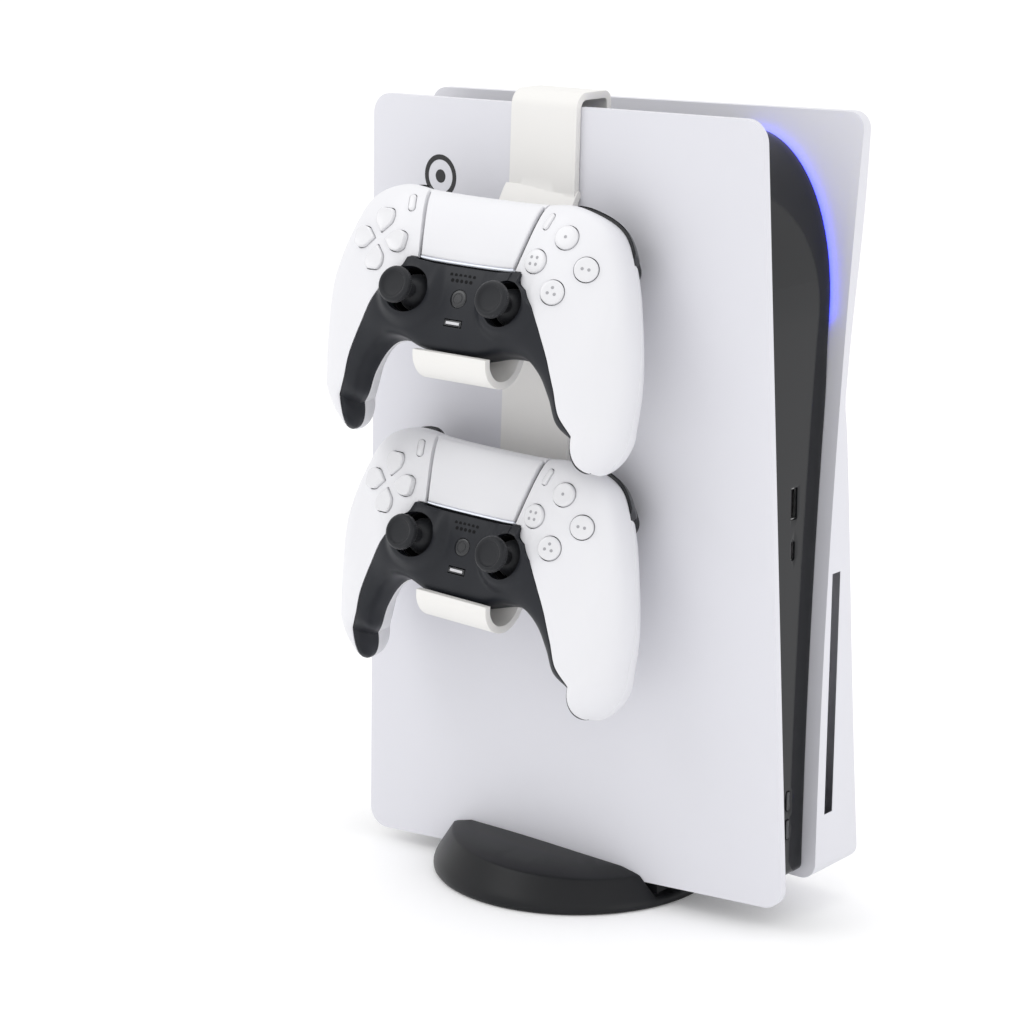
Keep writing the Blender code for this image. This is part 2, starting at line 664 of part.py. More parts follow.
def controller(pre, mtx):
    """All pieces of one controller, modelled in (u, v, w) and placed by mtx."""
    made = []

    def keep(o):
        made.append(o)
        return o

    full = [-s for s in (1.88, 1.6, 1.25, 1.0, 0.85, 0.70, WIN1 + 0.006, WIN1 - 0.006, 0.50, 0.43,
                         0.37, 0.31, WIN0 - 0.006, SIDE + 0.004, SIDE - 0.004, 0.13)]
    full = full + [0.0] + [-s for s in reversed(full)]
    front = keep(thick_patch(pre + "front_shell", full, lambda s: PART + 0.7, th_front, 7, SHELL_T, SHELLW))
    rear = keep(thick_patch(pre + "rear_shell", full, lambda s: th_rear(s) + 0.9, th_open, 8, SHELL_T, SHELLW))

    tr = [s for s in full if abs(s) > SIDE - 0.001] + [-0.21, -0.17, -0.13, -0.08, 0.0, 0.08, 0.13, 0.17, 0.21]
    tr = sorted(set(tr))
    trim = keep(thick_patch(pre + "trim", tr,
                            trim_top,
                            lambda s: th_rear(s), 8, SHELL_T, TRIM, mound))
    for sg in (-1, 1):
        hole = turned("cut_" + pre + "stick_%d" % sg, [(0.001, -12), (10.4, -12), (10.4, 20), (0.001, 20)], None, CUTS,
                      24, at(sg * STICK_U, STICK_V))
        boolean(trim, hole)
    for nm, v, hw, hh in (("home", 1.0, 4.2, 3.2), ("mute", -9.9, 4.4, 1.5)):
        c = box("cut_" + pre + nm, (-hw - 0.4, v - hh - 0.4, -12), (hw + 0.4, v + hh + 0.4, 8), None, CUTS)
        boolean(trim, c)
        w = skin_w(0, v)
        keep(box(pre + nm + "_button", (-hw, v - hh, w - 4.0), (hw, v + hh, w + 0.35), RUBBER if nm == "home" else GREY,
                 None, 0.4, 1))
    bake(trim)

    keep(thick_patch(pre + "touchpad", [-SIDE + 0.012, -0.13, 0, 0.13, SIDE - 0.012],
                     lambda s: 31.0, lambda s: 89.5, 6, 2.4, SHELLW, lambda s, th: 0.7))

    # holes for the face buttons, direction pad and the two small buttons
    for nm, (dx, dy) in BUTTONS.items():
        u, v = PAD_U + dx * BTN_OFF, PAD_V + dy * BTN_OFF
        c = turned("cut_" + pre + nm, [(0.001, -16), (BTN_R + 0.45, -16), (BTN_R + 0.45, 10), (0.001, 10)], None, CUTS,
                   16, at(u, v))
        boolean(front, c)
        w = skin_w(u, v)
        keep(turned(pre + nm + "_button", [(0.001, w - 5), (BTN_R, w - 5), (BTN_R, w + 1.4),
                                           (0.001, w + 1.5)], SHELLW, None, 16, at(u, v)))
    wp = skin_w(PAD_U, PAD_V)
    for k in range(4):
        c = prism("cut_" + pre + "petal_%d" % k, petal(k, 0.45), -12, 8, None, CUTS, at(-PAD_U, PAD_V))
        boolean(front, c)
    pad = keep(turned(pre + "dpad", [(0.001, wp - 10.4), (7.8, wp - 10.4), (7.8, wp - 8.2), (0.001, wp - 8.2)], SHELLW, None,
                      12, at(-PAD_U, PAD_V)))
    for k in range(4):
        du, dv = -sin(pi / 2 * k) * 9.0, cos(pi / 2 * k) * 9.0
        c = prism("cut_" + pre + "pet_%d" % k, petal(k), wp - 9.0, skin_w(-PAD_U + du, PAD_V + dv) + 1.3, None, CUTS,
                  at(-PAD_U, PAD_V))
        boolean(pad, c, "UNION")
    bake(pad)
    for nm, sg in (("create", -1), ("options", 1)):
        R = Matrix.Rotation(radians(-14 * sg), 4, "Z")
        w = skin_w(36.0, 40.0)
        pill = [(1.5 * cos(a) , 2.4 * (1 if sin(a) > 0 else -1) + 1.5 * sin(a)) for a in
                np.linspace(0.0001, 2 * pi + 0.0001, 12, endpoint=False)]
        big = [(x * 1.28, y * 1.11) for x, y in pill]
        c = prism("cut_" + pre + nm, big, w - 10, w + 8, None, CUTS, at(sg * 36.0, 40.0) @ R)
        boolean(front, c)
        keep(prism(pre + nm + "_button", pill, w - 4.5, w + 0.9, SHELLW, None, at(sg * 36.0, 40.0) @ R))
    bake(front)

    # shoulder buttons and triggers
    for side, sg in (("left", -1), ("right", 1)):
        ss = [sg * s for s in (WIN0 + 0.012, 0.36, 0.42, 0.48, 0.53, WIN1 - 0.012)]
        keep(thick_patch(pre + side + "_bumper", ss, lambda s: PART - 1.3, lambda s: -27.0, 4,
                         lambda s, th: 2.6, BLACK, lambda s, th: 1.6))
        tt = [sg * s for s in (WIN0 + 0.024, 0.37, 0.42, 0.48, 0.52, WIN1 - 0.024)]
        keep(thick_patch(pre + side + "_trigger", tt, lambda s: -34.0, lambda s: -63.0, 5,
                         lambda s, th: 2.4, RUBBER, lambda s, th: 2.0 + 4.6 * smooth(-th, 0.55, 1.05)))

    # sticks, each on a ring that lets it tilt both ways
    for side, sg in (("left", -1), ("right", 1)):
        prof = [(0.001, -12.4), (2.8, -12.4), (3.4, 5.0), (7.6, 7.8), (8.1, 9.3), (7.6, 11.9), (5.9, 11.5), (0.001, 10.7)]
        keep(turned(pre + side + "_stick", prof, RUBBER, None, 16, at(sg * STICK_U, STICK_V)))
        ring = turned(pre + side + "_gimbal", [(0.001, -10.6), (7.4, -10.6), (7.4, -7.4), (0.001, -7.4)], GREY, None, 12,
                      at(sg * STICK_U, STICK_V))
        c = turned("cut_" + pre + side + "_ring", [(0.001, -14), (5.4, -14), (5.4, 0), (0.001, 0)], None, CUTS, 12,
                   at(sg * STICK_U, STICK_V))
        boolean(ring, c)
        bake(ring)
        keep(ring)

    keep(box(pre + "circuit_board", (-56, -6, -16.2), (56, 29, -14.6), GREEN))
    keep(box(pre + "battery", (-12.5, -8, -13.6), (12.5, 28, -8.2), GREY, None, 0.6))

    for o in list(made) + [c for c in CUTS.objects if c.name.startswith("cut_" + pre)]:
        o.data = o.data.copy() if o.data.users > 1 else o.data
        o.data.transform(mtx)
    for o in made:
        for e in o.modifiers:
            if e.type == "BEVEL":
                e.width *= K
    return made


def frame_of(origin, roll, tilt, yaw, size):
    """Axes of a controller: u to the player's right (-Y), v up the face, w out of it."""
    r, t, y = radians(roll), radians(tilt), radians(yaw)
    V0 = Vector((sin(t), 0, cos(t)))
    W0 = Vector((-cos(t), 0, sin(t)))
    U0 = V0.cross(W0)
    U1 = U0 * cos(y) - W0 * sin(y)
    W = W0 * cos(y) + U0 * sin(y)
    U = U1 * cos(r) - V0 * sin(r)
    V = V0 * cos(r) + U1 * sin(r)
    m = Matrix((U, V, W)).transposed().to_4x4()
    return Matrix.Translation(Vector(origin) * MM) @ m @ Matrix.Scale(size, 4)


UPM = frame_of((-103.6, 12.05, 318.05), 1.0, 20.1, 4.2, K)
LOM = frame_of((-90.8, 20.9, 191.0), 2.7, 18.4, 1.3, K)
controller("upper_", UPM)
controller("lower_", LOM)

# ------------------------------------------------------------------- hanger
HW = 21.5                        # half width of the strap
HT = 3.6                         # its thickness
HU = 22.0                        # half width of the trays


def ribbon(name, path, t, place, mat, col=None):
    """Band of thickness t along a path of (a, b) points; place(a, b, side) gives 3-D points."""
    P = np.array(path, float)
    T = np.gradient(P, axis=0)
    T /= np.linalg.norm(T, axis=1)[:, None]
    N = np.stack([-T[:, 1], T[:, 0]], 1)
    rings = []
    for p, nn in zip(P, N):
        a, b = p + nn * t / 2, p - nn * t / 2
        rings.append([place(a, 0), place(a, 1), place(b, 1), place(b, 0)])
    return new_object(name, loft(rings), mat, col)


def arc_points(c, r, a0, a1, n):
    return [(c[0] + r * cos(radians(a)), c[1] + r * sin(radians(a))) for a in np.linspace(a0, a1, n)]


STRAP_N = 0.4 + HT / 2           # strap's mid-line above the panel's face
top_z = 410.3
low_z = 222.0


def strap_place(p, side):
    n, z = p
    y = 4.2 + 0.06 * (412 - z) + (HW, -HW)[side]      # it hangs a little out of plumb
    return (left_outer(y, min(z, 408)) - n, y, z)


path = [(STRAP_N, z) for z in np.linspace(low_z, top_z - 6, 8)]
path += arc_points((STRAP_N - 5, top_z - 3.2), 5.0, 0, 90, 5)[1:]
path += [(-8.0, top_z + 1.8), (-18.0, top_z + 1.8)]
path += arc_points((-19.5, top_z - 1.2), 3.0, 90, 180, 4)[0:]
path += [(-22.5, 399.0)]
hanger = ribbon("hanger", path, HT, strap_place, CREAM)


UPT = frame_of((-109.0, 8.7, 322.0), 1.2, 29.0, 0.0, HK)
LOT = frame_of((-97.0, 17.5, 194.8), 3.1, 29.0, 0.0, HK)


def arm(name, mtx, v_top, dv, dw):
    """Arm that leans out from the strap and ends in a tray under the grip's middle."""
    pts = [(v_top, -35.0), (v_top * 0.6, -35.0), (0.0, -35.0), (-14.0, -35.0)]
    pts += [(-22.0, -34.0), (-28.0, -30.0), (-31.0, -24.0), (-30.6, -18.0), (-27.6, -13.2), (-23.4, -10.6)]

    def place(p, side):
        q = mtx @ (Vector((HU * (-1, 1)[side], p[0] + dv, p[1] + dw)) * MM)
        return (q.x / MM, q.y / MM, q.z / MM)
    return ribbon(name, pts, HT / HK, place, None, CUTS)


a1 = arm("cut_arm_upper", UPT, 70.3, -2.0, -2.5)
a2 = arm("cut_arm_lower", LOT, 56.2, 0.0, -2.0)
boolean(hanger, a1, "UNION")
boolean(hanger, a2, "UNION")
bake(hanger)
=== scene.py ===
# Looks for the game console with its hanger and two controllers.
import bpy
import bmesh
import json
import numpy as np
from math import sin, cos, pi, radians, sqrt, atan2
from mathutils import Matrix, Vector

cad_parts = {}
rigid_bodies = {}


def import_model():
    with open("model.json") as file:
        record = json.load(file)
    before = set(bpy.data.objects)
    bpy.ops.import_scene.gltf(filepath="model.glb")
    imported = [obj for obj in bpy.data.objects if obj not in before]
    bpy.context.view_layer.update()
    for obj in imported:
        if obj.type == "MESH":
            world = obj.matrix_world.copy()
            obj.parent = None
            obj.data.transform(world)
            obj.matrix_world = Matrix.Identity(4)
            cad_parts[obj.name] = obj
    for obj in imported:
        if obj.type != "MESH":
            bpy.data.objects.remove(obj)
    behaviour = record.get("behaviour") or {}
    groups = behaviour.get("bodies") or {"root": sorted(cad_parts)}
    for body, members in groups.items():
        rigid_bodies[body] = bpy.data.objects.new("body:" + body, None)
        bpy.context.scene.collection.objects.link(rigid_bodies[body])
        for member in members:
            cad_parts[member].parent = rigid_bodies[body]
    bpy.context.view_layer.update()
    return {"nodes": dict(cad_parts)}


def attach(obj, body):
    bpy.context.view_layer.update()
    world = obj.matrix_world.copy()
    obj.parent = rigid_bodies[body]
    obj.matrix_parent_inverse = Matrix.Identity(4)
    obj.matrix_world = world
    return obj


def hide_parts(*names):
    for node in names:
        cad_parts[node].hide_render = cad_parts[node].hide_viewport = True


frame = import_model()
NODES = frame["nodes"]
MM = 0.001
D2R = pi / 180

# ------------------------------------------------------------ dimensions (mm)
PANEL_T = 4.0
L_FT = (-51.8, -129.0, 408.3)
L_FB = (-21.1, -129.0, 14.2)
L_RB = (-33.0, 129.5, 7.7)
L_RT = (-27.0, 126.9, 405.5)
PANEL_R = 11.0
R_Z0, R_Z1, R_Y0, R_Y1 = 20.0, 405.0, -127.4, 129.0
BAY_TOP = 262.0
SLOT_Z0, SLOT_Z1, SLOT_W = 54.0, 178.0, 6.0
CORE_Z0, CORE_Z1 = 24.0, 395.0
FRONT_Y = -119.4
ROUND_Y, ROUND_Z = 53.0, 90.0
STAND_R, STAND_Y = 75.4, 15.0
K = 1.1144
HK = 1.027
STICK_U, STICK_V = 25.4, 1.4
PAD_U, PAD_V = 47.3, 21.9
BTN_OFF, BTN_R = 12.1, 5.3


def smooth(x, a, b):
    t = min(1.0, max(0.0, (x - a) / (b - a)))
    return t * t * (3 - 2 * t)


def left_outer(y, z):
    t = (z - L_FB[2]) / (L_FT[2] - L_FB[2])
    xf = L_FB[0] + (L_FT[0] - L_FB[0]) * t
    xr = L_RB[0] + (L_RT[0] - L_RB[0]) * t
    s = (y - L_RT[1]) / (L_FT[1] - L_RT[1])
    return xr + (xf - xr) * s


def left_inner(y, z):
    return left_outer(y, z) + PANEL_T


def right_inner(y, z):
    q = z - 30
    xf = 11.8 + 0.010 * q + 0.00018 * q * q
    xr = 25.0 - 0.005 * q
    s = (y - R_Y1) / (R_Y0 - R_Y1)
    return xr + (xf - xr) * s


def right_outer(y, z):
    base = right_inner(y, z) + PANEL_T + 1.0
    base += 3.0 * np.exp(-((z - 355) / 50.0) ** 2) * (1 - smooth(y, -127, -60))
    b = 36.0 * min(1.0, max(0.0, (BAY_TOP - z) / (BAY_TOP - 20))) ** 0.78
    b *= 1 - smooth(y, -10, 95)
    return base + b


def flare(z):
    return 0.8 + 2.2 * smooth(z, 262, 302)


# ---------------------------------------------------------------- materials
def node(nt, kind, **kw):
    n = nt.nodes.new(kind)
    for k, v in kw.items():
        setattr(n, k, v)
    return n


def plastic(name, rgb, rough=0.45, grain=1400, depth=0.02, tone=0.02, coat=0.0, coat_rough=0.1, metal=0.0,
            spec=0.5, rvar=0.05, edge_highlight=0.0, sheen=0.0, sss=0.0):
    """Moulded plastic: fine grain, slight blotches of tone and roughness, and a painted highlight that lightens the
    convex edges.
    """
    m = bpy.data.materials.new(name)
    m.use_nodes = True
    nt = m.node_tree
    b = nt.nodes["Principled BSDF"]
    b.inputs["Metallic"].default_value = metal
    b.inputs["Specular IOR Level"].default_value = spec
    b.inputs["Coat Weight"].default_value = coat
    b.inputs["Coat Roughness"].default_value = coat_rough
    b.inputs["Sheen Weight"].default_value = sheen
    if sss:
        b.inputs["Subsurface Weight"].default_value = sss
        b.inputs["Subsurface Scale"].default_value = 0.002
        b.inputs["Subsurface Radius"].default_value = (1.0, 1.0, 1.0)
    tc = node(nt, "ShaderNodeTexCoord")
    fine = node(nt, "ShaderNodeTexNoise")
    fine.inputs["Scale"].default_value = grain
    fine.inputs["Detail"].default_value = 3.0
    fine.inputs["Roughness"].default_value = 0.6
    big = node(nt, "ShaderNodeTexNoise")
    big.inputs["Scale"].default_value = 22.0
    big.inputs["Detail"].default_value = 4.0
    nt.links.new(tc.outputs["Object"], fine.inputs["Vector"])
    nt.links.new(tc.outputs["Object"], big.inputs["Vector"])
    bump = node(nt, "ShaderNodeBump")
    bump.inputs["Strength"].default_value = 0.5
    bump.inputs["Distance"].default_value = depth * MM
    nt.links.new(fine.outputs["Fac"], bump.inputs["Height"])
    nt.links.new(bump.outputs["Normal"], b.inputs["Normal"])
    mr = node(nt, "ShaderNodeMapRange")
    mr.inputs["To Min"].default_value = max(0.02, rough - rvar)
    mr.inputs["To Max"].default_value = min(1.0, rough + rvar)
    nt.links.new(big.outputs["Fac"], mr.inputs["Value"])
    nt.links.new(mr.outputs["Result"], b.inputs["Roughness"])
    ramp = node(nt, "ShaderNodeMix", data_type="RGBA")
    ramp.inputs["A"].default_value = (*[max(0.0, c * (1 - tone)) for c in rgb], 1)
    ramp.inputs["B"].default_value = (*[min(1.0, c * (1 + tone)) for c in rgb], 1)
    nt.links.new(big.outputs["Fac"], ramp.inputs["Factor"])
    out = ramp.outputs["Result"]
    # painted highlight: convex edges, found by Pointiness, are mixed towards a lighter tone of the colour
    if edge_highlight:
        geo = node(nt, "ShaderNodeNewGeometry")
        cr = node(nt, "ShaderNodeMapRange")
        cr.inputs["From Min"].default_value = 0.53
        cr.inputs["From Max"].default_value = 0.62
        nt.links.new(geo.outputs["Pointiness"], cr.inputs["Value"])
        mul = node(nt, "ShaderNodeMath", operation="MULTIPLY")
        mul.inputs[1].default_value = edge_highlight
        nt.links.new(cr.outputs["Result"], mul.inputs[0])
        mx = node(nt, "ShaderNodeMix", data_type="RGBA")
        mx.inputs["B"].default_value = (*[min(1.0, c * 1.25 + 0.03) for c in rgb], 1)
        nt.links.new(out, mx.inputs["A"])
        nt.links.new(mul.outputs["Value"], mx.inputs["Factor"])
        out = mx.outputs["Result"]
    nt.links.new(out, b.inputs["Base Color"])
    return m


def glowing(name, rgb, strength):
    m = plastic(name, rgb, 0.4)
    b = m.node_tree.nodes["Principled BSDF"]
    b.inputs["Emission Color"].default_value = (*rgb, 1)
    b.inputs["Emission Strength"].default_value = strength
    return m


M_PANEL = plastic("panel_white", (0.70, 0.70, 0.745), 0.42, 1500, 0.012, 0.012, spec=0.45, rvar=0.05)
M_SHELL = plastic("controller_white", (0.76, 0.76, 0.785), 0.38, 2200, 0.012, 0.01, spec=0.5, rvar=0.05)
M_PAD = plastic("touchpad_white", (0.76, 0.76, 0.785), 0.42, 2600, 0.016, 0.01, spec=0.45)
M_BUTTON = plastic("button_white", (0.74, 0.74, 0.76), 0.25, 2400, 0.006, 0.01, coat=0.35, coat_rough=0.15)
M_HANGER = plastic("hanger_white", (0.80, 0.79, 0.77), 0.55, 900, 0.03, 0.012, spec=0.35)
M_GLOSS = plastic("piano_black", (0.006, 0.0065, 0.008), 0.1, 500, 0.002, 0.05, spec=0.2, coat=0.12, coat_rough=0.05, rvar=0.02)
# satin black and trim black get the painted highlight on their convex edges
M_SATIN = plastic("satin_black", (0.008, 0.0085, 0.010), 0.36, 1300, 0.02, 0.05, spec=0.25, rvar=0.06, edge_highlight=0.15)
M_TRIM = plastic("trim_black", (0.012, 0.0135, 0.018), 0.42, 1800, 0.02, 0.04, spec=0.3, edge_highlight=0.1)
M_RUBBER = plastic("stick_rubber", (0.011, 0.012, 0.015), 0.5, 1500, 0.03, 0.05, spec=0.3, sheen=0.08)
# near-black: own colour of the port tongues and stick wells, and painted shade for the slot liner, the gap layer and
# the speaker holes
M_BLACK_AND_SHADE = plastic("hole_black", (0.004, 0.004, 0.005), 0.7, 900, 0.01, 0.05, spec=0.2)
M_BUMPER = plastic("bumper_black", (0.012, 0.013, 0.016), 0.25, 1500, 0.006, 0.04, coat=0.3)
M_GREY = plastic("button_grey", (0.30, 0.30, 0.32), 0.4, 1500, 0.01, 0.03)
M_MUTE = plastic("mute_grey", (0.62, 0.62, 0.64), 0.4, 1500, 0.01, 0.03)
M_INK = plastic("mark_black", (0.010, 0.010, 0.012), 0.45, 1500, 0.004, 0.05)
M_INK2 = plastic("mark_grey", (0.36, 0.36, 0.38), 0.5, 1500, 0.004, 0.05)
M_SEAM = plastic("seam_dark", (0.08, 0.08, 0.09), 0.7, 1500, 0.01, 0.05, spec=0.2)
M_STEEL = plastic("brushed_steel", (0.55, 0.56, 0.58), 0.35, 300, 0.02, 0.05, metal=1.0)
M_FINS = plastic("fin_aluminium", (0.7, 0.7, 0.72), 0.35, 300, 0.02, 0.04, metal=1.0)
M_BOARD = plastic("board_green", (0.012, 0.10, 0.04), 0.45, 700, 0.03, 0.25)
M_BLUE = glowing("light_blue", (0.012, 0.03, 1.0), 9.0)
M_BAR = glowing("light_bar", (0.75, 0.78, 0.85), 0.25)
M_PLATE_GOLD = plastic("port_metal", (0.5, 0.5, 0.5), 0.3, 900, 0.01, 0.04, metal=1.0)


# ------------------------------------------------------------------ helpers
COL = bpy.data.collections.new("looks")
bpy.context.scene.collection.children.link(COL)
CUTS = bpy.data.collections.new("scene_cutters")
bpy.context.scene.collection.children.link(CUTS)


def new_object(name, bm, mat, sharp=38, cut=False, mtx=None):
    bmesh.ops.recalc_face_normals(bm, faces=bm.faces)
    if bm.calc_volume(signed=True) < 0:
        bmesh.ops.reverse_faces(bm, faces=bm.faces)
    me = bpy.data.meshes.new(name)
    bm.to_mesh(me)
    bm.free()
    if mtx is not None:
        me.transform(mtx)
    o = bpy.data.objects.new(name, me)
    (CUTS if cut else COL).objects.link(o)
    if mat:
        me.materials.append(mat)
    me.shade_smooth()
    me.set_sharp_from_angle(angle=radians(sharp))
    return o


def apply(o, sharp=38):
    """Apply the modifiers and drop the cutters that they used."""
    cutters = [m.object for m in o.modifiers if m.type == "BOOLEAN"]
    bpy.context.view_layer.update()
    dg = bpy.context.evaluated_depsgraph_get()
    me = bpy.data.meshes.new_from_object(o.evaluated_get(dg))
    old = o.data
    o.modifiers.clear()
    o.data = me
    bpy.data.meshes.remove(old)
    for c in set(cutters):
        bpy.data.objects.remove(c, do_unlink=True)
    me.shade_smooth()
    me.set_sharp_from_angle(angle=radians(sharp))
    return o


def boolean(o, cutter, op="DIFFERENCE"):
    m = o.modifiers.new(op.lower(), "BOOLEAN")
    m.operation = op
    m.object = cutter
    m.solver = "EXACT"


def bevel(o, width, seg=3, angle=45):
    m = o.modifiers.new("bevel", "BEVEL")
    m.width = width * MM
    m.segments = seg
    m.limit_method = "ANGLE"
    m.angle_limit = radians(angle)
    m.use_clamp_overlap = True


def loft(rings, closed=True, caps=True):
    bm = bmesh.new()
    vs = [[bm.verts.new(Vector(p) * MM) for p in r] for r in rings]
    n = len(rings[0])
    last = n if closed else n - 1
    for a, b in zip(vs, vs[1:]):
        for i in range(last):
            j = (i + 1) % n
            bm.faces.new((a[i], a[j], b[j], b[i]))
    if caps:
        bm.faces.new(vs[0])
        bm.faces.new(list(reversed(vs[-1])))
    return bm


def cube(name, lo, hi, mat, cut=False, bev=0.0, seg=3, mtx=None):
    bm = bmesh.new()
    c = [(a + b) / 2 * MM for a, b in zip(lo, hi)]
    s = [(b - a) * MM for a, b in zip(lo, hi)]
    bmesh.ops.create_cube(bm, size=1.0, matrix=Matrix.Translation(c) @ Matrix.Diagonal((*s, 1)))
    o = new_object(name, bm, mat, cut=cut)
    if bev:
        bevel(o, bev, seg, 30)
        apply(o)
    if mtx is not None:
        o.data.transform(mtx)
    return o


def turned(name, prof, mat, seg=64, mtx=None, cut=False, sharp=38, wave=None):
    rings = []
    for k, (r, z) in enumerate(prof):
        ring = []
        for i in range(seg):
            a = 2 * pi * i / seg
            rr = r + (wave(k, a) if wave else 0.0)
            ring.append((rr * cos(a), rr * sin(a), z))
        rings.append(ring)
    return new_object(name, loft(rings), mat, sharp, cut, mtx)


def prism(name, pts, h0, h1, mat, mtx=None, cut=False, bev=0.0, seg=2):
    bm = loft([[(x, y, h0) for x, y in pts], [(x, y, h1) for x, y in pts]])
    o = new_object(name, bm, mat, cut=cut)
    if bev:
        bevel(o, bev, seg, 50)
        apply(o)
    if mtx is not None:
        o.data.transform(mtx)
    return o


def grid_solid(name, A, B, mat, sharp=38):
    """Solid between two equal grids of points."""
    bm = bmesh.new()
    gs = [[[bm.verts.new(Vector(p) * MM) for p in row] for row in g] for g in (A, B)]
    nr, nc = len(A), len(A[0])
    for g in gs:
        for i in range(nr - 1):
            for j in range(nc - 1):
                bm.faces.new((g[i][j], g[i][j + 1], g[i + 1][j + 1], g[i + 1][j]))
    a, b = gs
    for i in range(nr - 1):
        for j in (0, nc - 1):
            bm.faces.new((a[i][j], a[i + 1][j], b[i + 1][j], b[i][j]))
    for j in range(nc - 1):
        for i in (0, nr - 1):
            bm.faces.new((a[i][j], a[i][j + 1], b[i][j + 1], b[i][j]))
    return new_object(name, bm, mat, sharp)


def put(o, body, *nodes, slot=None):
    if nodes:
        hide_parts(*nodes)
    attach(o, body)
    return o


# ------------------------------------------------------------- left panel
def left_panel():
    zb = lambda y: L_FB[2] + (L_RB[2] - L_FB[2]) * (y - L_FB[1]) / (L_RB[1] - L_FB[1])
    zt = lambda y: L_FT[2] + (L_RT[2] - L_FT[2]) * (y - L_FT[1]) / (L_RT[1] - L_FT[1])
    spec = []
    r, arc = PANEL_R, 12
    for k in range(arc + 1):
        a = pi / 2 * k / arc
        spec.append(("b", r * (1 - cos(a)), r * (1 - sin(a))))
    for t in np.linspace(0, 1, 50)[1:-1]:
        spec.append(("m", t, 0.0))
    for k in range(arc, -1, -1):
        a = pi / 2 * k / arc
        spec.append(("t", r * (1 - cos(a)), r * (1 - sin(a))))
    ny = 40
    G = []
    for fx in (left_outer, left_inner):
        g = []
        for kind, p, d in spec:
            row = []
            for j in range(ny + 1):
                yr = L_RB[1] if kind == "b" else (L_RT[1] if kind == "t" else L_RB[1] + (L_RT[1] - L_RB[1]) * p)
                y = (L_FT[1] + d) + (yr - L_FT[1] - 2 * d) * j / ny
                z = zb(y) + p if kind == "b" else (zt(y) - p if kind == "t" else
                                                   (zb(y) + r) * (1 - p) + (zt(y) - r) * p)
                row.append((fx(y, z), y, z))
            g.append(row)
        G.append(g)
    o = grid_solid("left_panel_skin", G[0], G[1], M_PANEL)
    bevel(o, 1.5, 4, 50)
    apply(o, 50)
    return put(o, "console", "left_side_panel", slot="panel_white")


left_panel()


# ------------------------------------------------------------ right panel
def rows_of(z0, z1, y0, y1, r, arc, mid):
    rows = []
    for k in range(arc + 1):
        a = pi / 2 * k / arc
        rows.append((z0 + r * (1 - cos(a)), y0 + r * (1 - sin(a)), y1 - r * (1 - sin(a))))
    for z in np.linspace(z0 + r, z1 - r, mid + 2)[1:-1]:
        rows.append((z, y0, y1))
    for k in range(arc, -1, -1):
        a = pi / 2 * k / arc
        rows.append((z1 - r * (1 - cos(a)), y0 + r * (1 - sin(a)), y1 - r * (1 - sin(a))))
    return rows


def sheet_grid(rows, fx, ny):
    return [[(fx(y, z), y, z) for y in np.linspace(y0, y1, ny + 1)] for z, y0, y1 in rows]


def right_panel():
    rows = rows_of(R_Z0, R_Z1, R_Y0, R_Y1, 9.0, 10, 64)
    o = grid_solid("right_panel_skin", sheet_grid(rows, right_inner, 44), sheet_grid(rows, right_outer, 44), M_PANEL)
    bevel(o, 1.1, 4, 50)
    apply(o, 50)
    pr = [(z, -98, 20) for z in np.linspace(46, 196, 12)]
    pocket = grid_solid("cut_bay", sheet_grid(pr, lambda y, z: right_inner(y, z) - 6, 10),
                        sheet_grid(pr, lambda y, z: right_outer(y, z) - 4.2, 10), None)
    boolean(o, pocket)
    MXZ = Matrix(((1, 0, 0, 0), (0, 0, -1, 0), (0, 1, 0, 0), (0, 0, 0, 1)))
    sx = right_inner(R_Y0, 115) + 9.6
    pts = [(sx - SLOT_W / 2 - 1.0, SLOT_Z0), (sx + SLOT_W / 2 - 1.0, SLOT_Z0),
           (sx + SLOT_W / 2 + 1.0, SLOT_Z1), (sx - SLOT_W / 2 + 1.0, SLOT_Z1)]
    slot = prism("cut_slot", pts, 90, 140, None, MXZ, cut=True)
    boolean(o, slot)
    apply(o, 50)
    # chamfer of the slot's mouth
    wide = [(sx - SLOT_W / 2 - 1.6, SLOT_Z0 - 0.9), (sx + SLOT_W / 2 + 0.6, SLOT_Z0 - 0.9),
            (sx + SLOT_W / 2 + 2.6, SLOT_Z1 + 0.9), (sx - SLOT_W / 2 + 0.4, SLOT_Z1 + 0.9)]
    bm = loft([[(x, y, -R_Y0 + 0.6) for x, y in wide], [(x, y, -R_Y0 - 0.9) for x, y in pts]])
    ch = new_object("cut_chamfer", bm, None, cut=True, mtx=MXZ)
    boolean(o, ch)
    apply(o, 50)
    put(o, "console", "right_side_panel", slot="panel_white")
    # painted shade: a dark liner set inside the slot stands in for the shade that gives the slot its depth
    lin = [(sx - SLOT_W / 2 - 0.8, SLOT_Z0 + 0.3), (sx + SLOT_W / 2 - 1.2, SLOT_Z0 + 0.3),
           (sx + SLOT_W / 2 + 0.8, SLOT_Z1 - 0.3), (sx - SLOT_W / 2 + 1.2, SLOT_Z1 - 0.3)]
    l = prism("disc_slot_felt", lin, 95.5, 104.5, M_BLACK_AND_SHADE, MXZ)
    put(l, "console", slot="satin_black")


right_panel()


# --------------------------------------------------------------- fascia
def profile(d, n=40):
    pts = [(FRONT_Y + d, CORE_Z0 + (3.5 if d < 1 else 0.0))]
    pts = []
    zc = CORE_Z1 - ROUND_Z
    for k in range(6):                       # small round at the foot
        a = pi / 2 * k / 5
        pts.append((FRONT_Y + d + 4.0 * (1 - sin(a)), CORE_Z0 + 4.0 * (1 - cos(a))))
    for z in np.linspace(CORE_Z0 + 4, zc, 40)[1:-1]:
        pts.append((FRONT_Y + d, z))
    for k in range(n + 1):
        a = pi / 2 * k / n
        pts.append((FRONT_Y + ROUND_Y - (ROUND_Y - d) * cos(a), zc + (ROUND_Z - d) * sin(a)))
    return pts


